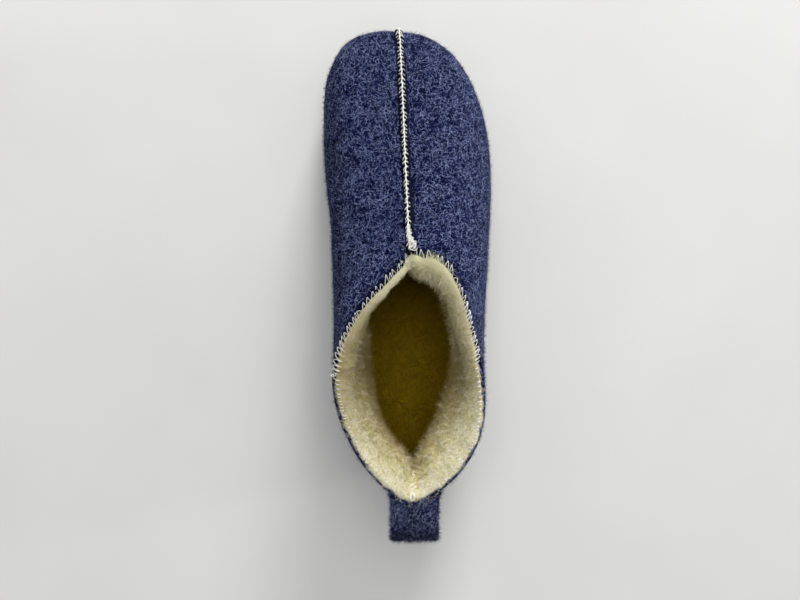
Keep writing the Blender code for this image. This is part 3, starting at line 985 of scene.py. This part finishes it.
# Paler hair for the roll, also given to the wisps and the tuft as painted light.
ROLL_TONES = ((0.7, 0.3), (0.92, 0.4), (1.0, 0.3))  # clean wool
TACK_MIDDLE, TACK_WIDTH = 2.6 * MM, 3.4 * MM
TACK_REAR, TACK_FRONT = -117.0 * MM, -110.5 * MM
SWIRL_MIDDLE, SWIRL_RADIUS = (1.8 * MM, -118.8 * MM), 1.5 * MM
SEEN_FRONT = 12 * MM  # ahead of this the eye doesn't reach the lining
LOCK_PROBE = 0.5 * MM
ROLL_TOP = 3  # the row on top of the roll; outside it the fleece is held tight
PILE_FROM, ROLL_END = 5, 9  # rows where the pile starts and the cleaner hair of the roll ends
FLUFF_PLACE, FLUFF_SIZE, FLUFF_SHARE = np.array([12, 0]) * MM, 12 * MM, 6.0
UPRIGHT_SHARE, UPRIGHT_SLOPE = 3.0, 0.25
TUFT_PLACE, TUFT_REACH, TUFT_FROM = np.array([11, -1]) * MM, 6 * MM, 4
THIN_FRONT = -35 * MM  # ahead of this the fleece of the medial side is too thin for loose hairs


def wool_seen(middle, row):
    """True on the lining's wool side as far forward as the eye reaches, except under the bar tack."""
    rear, front = SWIRL_MIDDLE[1] - SWIRL_RADIUS, TACK_FRONT + 1 * MM
    across, along = middle[:, 0], middle[:, 1]
    by_tack = (np.abs(across - TACK_MIDDLE) < TACK_WIDTH) & (along > rear) & (along < front)
    return (row > 0) & (row < len(ROLL) + LINING_ROWS) & (along < SEEN_FRONT) & ~by_tack


def pile_hair(middle, facing, row):
    return (row > PILE_FROM) & wool_seen(middle, row)


def roll_hair(middle, facing, row):
    return (row < ROLL_END) & wool_seen(middle, row)


def loose_hair(middle, facing, row):
    """Loose hairs grow inside the roll's top, thickest on upright faces and on the full lateral front."""
    from_fluff = np.linalg.norm(middle[:, :2] - FLUFF_PLACE, axis=1)
    thin = (middle[:, 0] < 0) & (middle[:, 1] > THIN_FRONT)
    fluff = FLUFF_SHARE * hump(from_fluff, FLUFF_SIZE) * (row < len(ROLL))
    upright = UPRIGHT_SHARE * hump(facing[:, 2], UPRIGHT_SLOPE)
    return wool_seen(middle, row) * ~thin * (row > ROLL_TOP) * (1 + fluff + upright)


def tuft_hair(middle, facing, row):
    """A tuft of pulled fleece hangs from the roll on the lateral front."""
    from_tuft = np.linalg.norm(middle[:, :2] - TUFT_PLACE, axis=1)
    return hump(from_tuft, TUFT_REACH) * (row > TUFT_FROM) * (row < len(ROLL))


def locks(size, pull, rise):
    """A flow for hairs that rise and lean together into locks of this size, up the slope of a noise."""

    def flow(root, normal):
        probes = np.eye(3) * LOCK_PROBE
        slope = [cloth_noise(root + probe, size) - cloth_noise(root - probe, size) for probe in probes]
        return np.array([0, 0, rise]) + pull * np.stack(slope, axis=1)

    return flow


gathered = locks(4.5 * MM, 4.0, 0.6)
FLEECE_WOOL = (
    ("fleece_pile", 70000, 21, (2.5, 5.5), (0.13, 0.25), (0, 0.6, 1.2), 0.9, pile_hair, PILE_TONES, gathered),
    ("fleece_roll_pile", 30000, 22, (1.5, 3.2), (0.11, 0.22), (0.0, 0.35, 0.6), 0.9, roll_hair, ROLL_TONES),
    # The wisps and the tuft take the roll's paler tones: painted light on the shaded front of the lining.
    ("fleece_wisps", 20000, 23, (4, 10), (0.09, 0.15), (0, 1.6, 3.8), 1.0, loose_hair, ROLL_TONES, gathered),
    ("fleece_tuft", 2200, 24, (3, 8), (0.18, 0.32), (0.0, 1.6, 3.6), 1.0, tuft_hair, ROLL_TONES, gathered),
)
cream_wool = make_fibre_material("cream wool pile", CREAM_RAMP, CREAM_SHEEN, 0.12)
paint_fleece_shade(cream_wool)
wool_side = carrier_arrays(lining, "row")
for name, *row in FLEECE_WOOL:
    make_fibres(name, wool_side, cream_wool, "fleece", *row)

# %% [markdown]
# ## Woolly insole
# Only a dark brown floor shows deep in the opening. It is a loose insole with a short, flattened wool pile.
# Its dark olive-brown colour is painted shade, the look of wool deep in the boot's shade.
# A copy of the bare insole is remeshed into small even faces, so that its top can be moved into low tufts,
# and short fibres lie over it.

# %% Insole
CAD_MERGE = 1e-6
INSOLE_FACE = 2.0 * MM
INSOLE_TOP = 10 * MM  # only points above this height are moved
INSOLE_TUFTS = ((13 * MM, 1.8 * MM), (5 * MM, 0.7 * MM))  # size and height
INSOLE_FRONT, INSOLE_SLOPE = 30 * MM, 0.6
INSOLE_TONES = ((0.1, 0.3), (0.5, 0.4), (0.9, 0.3))
# Painted shade: the insole's wool is coloured as dark as it looks deep in the boot's shade.
INSOLE_RAMP = ((0.3, "#634F05"), (0.5, "#7E6608"), (0.7, "#9E8216"))
BROWN_RAMP = ((0.0, "#6E5806"), (0.5, "#7C6408"), (1.0, "#887010"))


def copy_node(name):
    """A copy of a CAD node's mesh, its triangles merged into one skin and its stored normals dropped."""
    piece = add_object(name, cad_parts[name].data.copy())
    bpy.ops.object.mode_set(mode="EDIT")
    bpy.ops.mesh.select_all(action="SELECT")
    bpy.ops.mesh.remove_doubles(threshold=CAD_MERGE)
    bpy.ops.mesh.tris_convert_to_quads()
    bpy.ops.object.mode_set(mode="OBJECT")
    bpy.ops.mesh.customdata_custom_splitnormals_clear()
    return piece


def apply_modifier(piece, kind, **settings):
    """Adds a modifier with its settings and applies it to the piece's mesh."""
    step = piece.modifiers.new(kind.lower(), kind)
    for name, value in settings.items():
        setattr(step, name, value)
    bpy.context.view_layer.objects.active = piece
    bpy.ops.object.modifier_apply(modifier=step.name)


def lumps_of(points, sizes):
    """Smooth noise at each point, added up over pairs of size and height."""
    return sum(height * cloth_noise(points, size) for size, height in sizes)


def insole_hair(middle, facing, row):
    return (facing[:, 2] > INSOLE_SLOPE) & (middle[:, 1] < INSOLE_FRONT)


insole = copy_node("insole")
apply_modifier(insole, "REMESH", mode="VOXEL", voxel_size=INSOLE_FACE)
points = read_rows(insole.data.vertices, "co", 3).astype(float)
points[:, 2] += lumps_of(points, INSOLE_TUFTS) * (points[:, 2] > INSOLE_TOP)
set_points(insole, points)
insole_shade_fleece = start_material("insole wool in painted shade", Roughness=0.95, Specular_IOR_Level=0.1)
grained(insole_shade_fleece, 9 * MM, 4.0, 1.5, INSOLE_RAMP, (0.6, 0.8 * MM))
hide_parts("insole")
finish_piece(insole, "insole_fleece", insole_shade_fleece)
insole_shade_wool = make_fibre_material("insole pile in painted shade", BROWN_RAMP, "#B09A50", 0.1)
flattened = locks(16 * MM, 14.0, 0.0)
insole_row = (9000, 31, (6, 14), (0.5, 1.1), (0, 0.6, 0.7), 0.9, insole_hair, INSOLE_TONES, flattened)
make_fibres("insole_pile", carrier_arrays(insole), insole_shade_wool, "fleece", *insole_row)

# %% [markdown]
# ## White overlock thread
# The front seam and the collar are sewn with thick white polyester thread. On the ridge an overlock machine
# lays a chain along the crest and a slanting leg down each side at every stitch, so the seam reads as a row
# of small arrows that point to the toe. Threads are curves with a round bevel, made a mesh at the end.


# %% Thread material and helper
def make_thread_material(name, dark, pale):
    """Spun polyester: bright, slightly glossy, and shaded along the twist by fine ridges."""
    thread = start_material(name, Roughness=0.55, Sheen_Weight=0.2, Sheen_Roughness=0.4)
    grained(thread, 0.5 * MM, 2.0, ramp=((0.35, dark), (0.6, pale)), bump=(0.4, 0.1 * MM))
    return thread


def rounded(path, times=2):
    """Cuts the corners of a path, so that a thread bends instead of folding."""
    for _ in range(times):
        before, after = path[:-1], path[1:]
        cut = np.stack([0.75 * before + 0.25 * after, 0.25 * before + 0.75 * after], axis=1).reshape(-1, 3)
        path = np.concatenate([path[:1], cut, path[-1:]])
    return path


def make_threads(name, paths, radius, look, swells=None):
    """Round threads along paths as one mesh. swells is each path's share of the radius, even or by point."""
    curve = bpy.data.curves.new(name, "CURVE")
    curve.dimensions = "3D"
    curve.bevel_depth = radius
    curve.bevel_resolution = 1
    curve.use_fill_caps = True
    for path, swell in zip(paths, swells or [1.0] * len(paths)):
        spline = curve.splines.new("POLY")
        spline.points.add(len(path) - 1)
        weighted = np.column_stack([path, np.ones(len(path))])
        spline.points.foreach_set("co", weighted.astype(np.float32).ravel())
        spline.points.foreach_set("radius", np.broadcast_to(swell, len(path)).astype(np.float32))
    add_object(name, curve)
    bpy.ops.object.convert(target="MESH")
    weld()
    finish_piece(bpy.context.object, name, look)


white_thread = make_thread_material("white spun polyester thread", "#D9D6CC", "#F8F6F0")
navy_thread = make_thread_material("navy spun polyester thread", "#141A38", "#262E55")

# %% Front seam thread
STITCH = 2.4 * MM
STITCH_STRETCH = 0.50  # the stitches open out on the steep toe by this share of the slope
SEAM_MARGIN = (1.0 * MM, 2.0 * MM)  # no stitch starts closer to the toe end or the collar end
SEAM_THREAD, CHAIN_THREAD = 0.20 * MM, 0.46 * MM
LEG_OFF = np.array([0.0, 0.7, 1.2, 1.6, 1.9]) * MM
LEG_ALONG = np.array([0.0, 0.06, 0.14, 0.26, 0.42])  # shares of a stitch
LEG_LIFT = np.array([0.30, 0.30, 0.26, 0.15, -0.30]) * MM
LEG_TAPER = 0.28  # the legs are this much shorter at the collar
TOE_LEAN, TOE_LEAN_END = -0.8 * MM, 16 * MM  # the chain starts on the lateral edge of the ridge
CHAIN_LIFT, CHAIN_STEP, CHAIN_SWING = 0.30 * MM, 0.3 * MM, 0.2 * MM
CHAIN_THIN, BEAD_SWELL, BEAD_LENGTH = 0.65, 0.45, 0.7 * MM
rng = np.random.default_rng(40)
seam_climb = np.linspace(0.01, 1, 1500)
seam_run = run_along(felt_point(np.zeros(len(seam_climb)), seam_climb, 0.0))


def seam_points(off, run, lift):
    """Points on the felt beside the front seam, at distances along it from the toe."""
    climb = np.interp(run, seam_run, seam_climb)
    return felt_point(np.asarray(off, float), climb, np.asarray(lift, float))


def chain_lean(run):
    """How far the chain lies beside the middle of the ridge, at a distance from the toe."""
    return TOE_LEAN * (1 - smooth_step(run / TOE_LEAN_END))


legs, leg_swells, beads = [], [], []
run = SEAM_MARGIN[0]
while run < seam_run[-1] - SEAM_MARGIN[1]:
    climb = np.interp(run, seam_run, seam_climb)
    steep = abs(float(wall_frame(np.zeros(1), np.array([climb]))[2][0, 2]))
    pitch = STITCH * (1 + STITCH_STRETCH * steep)
    for side in (-1, 1):
        taper = 1 - LEG_TAPER * run / seam_run[-1]
        off = side * LEG_OFF * rng.uniform(0.65, 1.10) * taper + chain_lean(run)
        along = run + pitch * (rng.uniform(-0.20, 0.20) + LEG_ALONG * rng.uniform(0.3, 1.4))
        legs.append(rounded(seam_points(off, along, LEG_LIFT), 1))
        leg_swells.append(rng.uniform(0.7, 1.25))
    beads.append(run)
    run += pitch * rng.uniform(0.85, 1.15)
make_threads("seam_legs", legs, SEAM_THREAD, white_thread, leg_swells)
chain_run = np.arange(0.0, seam_run[-1], CHAIN_STEP)
nearest = np.abs(chain_run[:, None] - np.array(beads)[None]).min(axis=1)
bead_swell = CHAIN_THIN + BEAD_SWELL * hump(nearest, BEAD_LENGTH)
wobble = CHAIN_SWING * np.sin(chain_run / STITCH * math.pi)
chain = seam_points(wobble + chain_lean(chain_run), chain_run, np.full(len(chain_run), CHAIN_LIFT))
make_threads("seam_chain", [chain], CHAIN_THREAD, white_thread, [bead_swell])

# %% [markdown]
# ## Collar thread
# The same thread runs round the collar in a zigzag that holds felt and fleece together: up over the roll and
# down to the felt's outside. One path goes round the whole collar, a few points to each stitch. Its end and
# the seam's end are left in a small knot of curls where they meet at the front.

# %% Collar thread
COLLAR_THREAD = 0.16 * MM
COLLAR_MARGIN = 2.0 * MM
# At shares of the way round from the front, in millimetres: length of a stitch, how far its tip reaches
# below the edge, and how deep in from the felt's outer face it stays. The stitches are wide on the lateral
# front and small towards the side seams; behind them they stay on top of the fleece.
STITCHES = (
    (0.00, 3.0, 2.2, -0.4),
    (0.08, 2.9, 2.0, -0.4),
    (0.16, 2.6, 1.2, -0.4),
    (0.23, 2.5, 0.9, -0.4),
    (0.25, 2.3, -1.4, 2.2),
    (0.50, 2.1, -1.4, 2.2),
    (0.76, 2.3, -1.4, 2.2),
    (0.78, 2.6, 0.9, -0.4),
    (0.86, 2.7, 1.2, -0.4),
    (0.93, 4.0, 2.2, -0.4),
    (1.00, 5.2, 2.7, -0.4),
)
# One stitch: shares of its length, depth from the felt's outer face and shares of the tip's drop below the
# edge, or of the roll's height over it.
ZIG_ALONG = np.array([0.0, 0.06, 0.16, 0.43, 0.50, 0.57, 0.84, 0.94])
ZIG_DEPTH = np.array([4.4, 2.6, 0.4, -0.35, -0.35, -0.35, 0.4, 2.6]) * MM
ZIG_DROP = np.array([-1.0, -1.0, -0.4, 0.8, 1.0, 0.8, -0.4, -1.0])
ROLL_HEIGHT = 2.9 * MM
SLANT = 0.22  # spread of the tips along the edge, as a share of a stitch
rng = np.random.default_rng(41)


def collar_points(run, depth, drop):
    """Points by the collar at distances round it: depth from the felt's outer face, drop below the edge."""
    place = np.interp(run, collar_run, collar_place)
    climb = climb_below(place, np.maximum(drop, 0))
    point, normal, rising = wall_frame(place, climb)
    lift = np.where(depth < 0, felt_relief(place, climb), 0) - depth
    return point + normal * lift[:, None] + rising * (np.maximum(-drop, 0) - nick_at(place))[:, None]


zigzag = []
round_share, *stitch_sizes = np.array(STITCHES).T
run = COLLAR_MARGIN
while run < COLLAR_LENGTH - COLLAR_MARGIN:
    length, tip, least = [np.interp(run / COLLAR_LENGTH, round_share, sizes) * MM for sizes in stitch_sizes]
    pitch = length * rng.uniform(0.6, 1.4)
    drop = ZIG_DROP * np.where(ZIG_DROP > 0, tip * rng.uniform(0.3, 1.4), ROLL_HEIGHT)
    slant = rng.normal(0, SLANT) * (ZIG_DROP > 0)
    zigzag.append(collar_points(run + pitch * (ZIG_ALONG + slant), np.maximum(ZIG_DEPTH, least), drop))
    run += pitch
make_threads("collar_zigzag", [rounded(np.concatenate(zigzag), 1)], COLLAR_THREAD, white_thread)

# %% Knots of the collar thread
KNOT_THREAD = 0.21 * MM  # radius of the thread where it is slack
KNOT_CURLS, KNOT_LENGTH = 26, 14 * MM
KNOT_OFF = -2.2 * MM  # the knot leans to the lateral side
NICK_CURLS, NICK_CURL_DEPTH, NICK_CURL_RISE = 3, 0.6 * MM, 2.2 * MM
FRONT_CURL_PLACE = 4.0 * MM
# Lift, width and height of the knot's curls in millimetres: where it starts, and what the collar end adds.
KNOT_GROWTH = ((0.6, 0.5), (0.6, 1.5), (0.4, 0.7))
CURL_POINTS, CURL_SPREAD = 12, 0.3
CURL_WAVE, CURL_WAVE_RATE, CURL_RISE = 0.4 * MM, 0.7, 0.5 * MM


def thread_curl(centre, wide, high):
    """A loose turn and a half of thread round a centre, slanted at random."""
    turn = np.linspace(0, rng.uniform(1.2, 1.9) * math.pi, CURL_POINTS) + rng.uniform(0, 2 * math.pi)
    slant = rng.uniform(0, math.pi)
    x, y = wide * rng.uniform(0.7, 1.2) * np.cos(turn), high * rng.uniform(0.7, 1.2) * np.sin(turn)
    curl = np.column_stack(
        [
            x * math.cos(slant) - y * math.sin(slant),
            x * math.sin(slant) + y * math.cos(slant),
            CURL_WAVE * np.sin(turn * CURL_WAVE_RATE) + np.linspace(0, CURL_RISE, len(turn)),
        ]
    )
    return centre + rng.normal(0, CURL_SPREAD, 3) * MM * (1, 1, 0.5) + curl


knot = []
for share in np.linspace(0, 1, KNOT_CURLS):
    run = seam_run[-1] - KNOT_LENGTH * (1 - share)
    lift, wide, high = [(start + more * share) * MM for start, more in KNOT_GROWTH]
    knot.append(thread_curl(seam_points([KNOT_OFF * share**2], [run], [lift])[0], wide, high))
for curl_place in (FRONT_CURL_PLACE, SIDE_SEAMS[0]):
    run = np.interp(curl_place, collar_place, collar_run)
    for _ in range(NICK_CURLS):
        beside = np.array([run + rng.normal(0, 0.5) * MM])
        centre = collar_points(beside, np.array([NICK_CURL_DEPTH]), np.array([-NICK_CURL_RISE]))[0]
        knot.append(thread_curl(centre, 0.8 * MM, 0.6 * MM))
make_threads("collar_knot", knot, KNOT_THREAD, white_thread)

# %% Bar tack inside the heel
TACK_STITCHES = 5
TACK_THREAD = 0.27 * MM
TACK_LIFT = 2.2 * MM
SWIRL_TURNS, SWIRL_END = 1.6, 0.5
ABOVE_COLLAR = 0.2


def on_lining(across, along):
    """Points just over the fleece, straight below places seen from above, or nearest to them."""
    found = []
    for x, y in zip(across, along):
        tree = wool_side[3]
        hit = tree.ray_cast(Vector((x, y, ABOVE_COLLAR)), Vector((0, 0, -1)))
        if hit[0] is None:
            hit = tree.find_nearest(Vector((x, y, HEEL_HEIGHT)))
        found.append(np.array(hit[0]) + TACK_LIFT * np.array((hit[1] + Vector((0, 0, 1))).normalized()))
    return np.array(found)


# Each stitch ends in two points, so that rounding the corners doesn't make the tack narrower.
sides = np.repeat(np.arange(TACK_STITCHES * 2) % 2 - 0.5, 2)
tack = on_lining(TACK_MIDDLE + sides * TACK_WIDTH, np.linspace(TACK_FRONT, TACK_REAR, len(sides)))
turn = np.linspace(0, SWIRL_TURNS * 2 * math.pi, 30)
closing = np.linspace(1, SWIRL_END, len(turn)) * SWIRL_RADIUS
swirl = on_lining(SWIRL_MIDDLE[0] + closing * np.cos(turn), SWIRL_MIDDLE[1] + closing * np.sin(turn))
make_threads("heel_bar_tack", [rounded(tack, 1), swirl], TACK_THREAD, white_thread)

# %% [markdown]
# ## Side seam thread
# The back piece butts against the front halves at a flat seam on each side. A navy zigzag bridges the groove
# there, so it shows only as a row of small bars in raking light.

# %% Side seam thread
SIDE_STITCH, SIDE_REACH, SIDE_LIFT = 3.2 * MM, 1.9 * MM, 0.35 * MM
SIDE_THREAD = 0.25 * MM
side_paths = []
climbs = np.linspace(0.04, 0.96, 500)
for seam_place in SIDE_SEAMS:
    line_run = run_along(base_surface(np.full(len(climbs), seam_place), climbs))
    stops = np.arange(0, line_run[-1], SIDE_STITCH / 2)
    swing = np.where(np.arange(len(stops)) % 2 == 0, SIDE_REACH, -SIDE_REACH)
    path = felt_point(seam_place + swing, np.interp(stops, line_run, climbs), np.full(len(stops), SIDE_LIFT))
    side_paths.append(rounded(path, 2))
make_threads("side_seam_zigzag", side_paths, SIDE_THREAD, navy_thread)

# %% [markdown]
# ## Pull loop
# The loop is a strip of the same felt, cut with straight edges and sewn flat to the heel at both ends. A copy
# of the bare strip gets round edges from Bevel and a finer skin from Subdivision Surface, then soft lumps and
# fibres as on the shell. Its felt is paler than the shell's, as painted light, since the loop lies in the
# collar's shadow, and its round end is painted darker, as painted shade where it bends away from the light.

# %% Pull loop
LOOP_BEVEL, LOOP_CORNER = 0.9 * MM, math.radians(60)
LOOP_LUMPS = ((6 * MM, 0.22 * MM), (2 * MM, 0.12 * MM))  # size and height
# Painted shade on the loop's round end: where it starts, where it is full, and its share.
LOOP_SHADE_FROM, LOOP_SHADE_TO, LOOP_SHADE_SHARE = -133 * MM, -145 * MM, 0.62
# The loop's fibres are paler than the shell's, as painted light for a strip in the collar's shadow.
STRIP_RAMP = ((0.0, "#04071C"), (0.35, "#121942"), (0.7, "#505990"), (1.0, "#B4BCE0"))
STRIP_TONES = ((0.0, 0.44), (0.38, 0.18), (0.78, 0.22), (1.0, 0.16))


def everywhere(middle, facing, mark):
    return np.ones(len(middle))


LOOP_WOOL = (
    ("loop_fibres", 14000, 51, (1.5, 3.8), (0.14, 0.32), (0.0, 0.3, 0.25), 0.7, everywhere, STRIP_TONES),
    ("loop_fuzz", 6000, 52, (1.5, 3.8), (0.16, 0.26), (0.0, 0.7, 1.9), 0.7, everywhere, FUZZ_TONES),
)
pull_loop = copy_node("pull_loop")
bevel = {"width": LOOP_BEVEL, "segments": 2, "limit_method": "ANGLE", "angle_limit": LOOP_CORNER}
apply_modifier(pull_loop, "BEVEL", **bevel)
apply_modifier(pull_loop, "SUBSURF", levels=2, render_levels=2)
pull_loop.data.update()
points = read_rows(pull_loop.data.vertices, "co", 3).astype(float)
loop_normals = read_rows(pull_loop.data.vertex_normals, "vector", 3)
set_points(pull_loop, points + loop_normals * lumps_of(points, LOOP_LUMPS)[:, None])
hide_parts("pull_loop")
finish_piece(pull_loop, "felt_pull_loop", strip_felt_painted_light)
strip_wool_painted_light = make_fibre_material("blue wool strip fibre", STRIP_RAMP, BLUE_SHEEN, 0.08)
# Painted shade: the loop darkens towards its round end, which bends away from the light.
for look in (strip_felt_painted_light, strip_wool_painted_light):
    mix_along(look, "Y", LOOP_SHADE_FROM, LOOP_SHADE_TO, LOOP_SHADE_SHARE, DARK_SHADE_FELT)
strip = carrier_arrays(pull_loop)
for name, *row in LOOP_WOOL:
    make_fibres(name, strip, strip_wool_painted_light, "felt", *row)

# %% [markdown]
# ## Rubber sole
# The sole doesn't show in the photograph, so it is kept plain: thin dark moulded rubber with a fine zigzag
# tread under the heel and the forefoot. One zigzag bar is modelled, copied along the sole at the height of
# its underside, joined, and cut out of a copy of the bare sole with Boolean.

# %% Rubber sole
GROOVE_WIDTH, GROOVE_DEPTH, GROOVE_PITCH = 1.6 * MM, 1.3 * MM, 7.0 * MM
GROOVE_SWING, GROOVE_WAVE = 2.2 * MM, 12 * MM
GROOVE_HALF_LENGTH = 60 * MM
BAR_BELOW = 5 * MM  # a bar reaches this far below the sole, so that it cuts right through its face
HEEL_TREAD = (-118 * MM, -40 * MM)
FOREFOOT_TREAD = (38 * MM, 140 * MM)
SHARP_EDGE = math.radians(35)


def make_groove_bar(y):
    """A zigzag bar across the sole whose top is one groove's depth above the underside."""
    bpy.ops.object.select_all(action="DESELECT")
    bars = round(2 * GROOVE_HALF_LENGTH / (GROOVE_WAVE / 2))
    bpy.ops.mesh.primitive_grid_add(x_subdivisions=bars, y_subdivisions=1, size=2)
    bar = bpy.context.object
    bottom = float(toe_lift((y - HEEL_Y) / FOOT_LENGTH)) - BAR_BELOW
    for vertex in bar.data.vertices:
        step = round((vertex.co.x + 1) / 2 * bars)
        swing = GROOVE_SWING if step % 2 else -GROOVE_SWING
        vertex.co = (vertex.co.x * GROOVE_HALF_LENGTH, y + swing + vertex.co.y * GROOVE_WIDTH / 2, bottom)
    bpy.ops.object.mode_set(mode="EDIT")
    bpy.ops.mesh.select_all(action="SELECT")
    bpy.ops.mesh.extrude_region_move(TRANSFORM_OT_translate={"value": (0, 0, BAR_BELOW + GROOVE_DEPTH)})
    bpy.ops.mesh.select_all(action="SELECT")
    bpy.ops.mesh.normals_make_consistent(inside=False)
    bpy.ops.object.mode_set(mode="OBJECT")
    return bar


bars = [
    make_groove_bar(float(y))
    for first, last in (HEEL_TREAD, FOREFOOT_TREAD)
    for y in np.arange(first, last, GROOVE_PITCH)
]
bpy.ops.object.select_all(action="DESELECT")
for bar in bars:
    bar.select_set(True)
bpy.context.view_layer.objects.active = bars[0]
bpy.ops.object.join()
cutter = bpy.context.object
outsole = copy_node("outsole")
apply_modifier(outsole, "BOOLEAN", operation="DIFFERENCE", object=cutter, solver="EXACT")
bpy.data.objects.remove(cutter)
rubber = start_material("moulded dark rubber", Roughness=0.7)
dust = grained(rubber, 18 * MM, 4.0, ramp=((0.35, "#222326"), (0.7, "#313236")))
grained(rubber, 0.9 * MM, 3.0, bump=(0.35, 0.15 * MM))
dullness = add_node(rubber, "ShaderNodeMapRange", {"To Min": 0.6, "To Max": 0.85}, {"Value": dust})
connect(rubber, dullness.outputs["Result"], "Roughness")
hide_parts("outsole")
finish_piece(outsole, "rubber_outsole", rubber)
outsole.data.set_sharp_from_angle(angle=SHARP_EDGE)
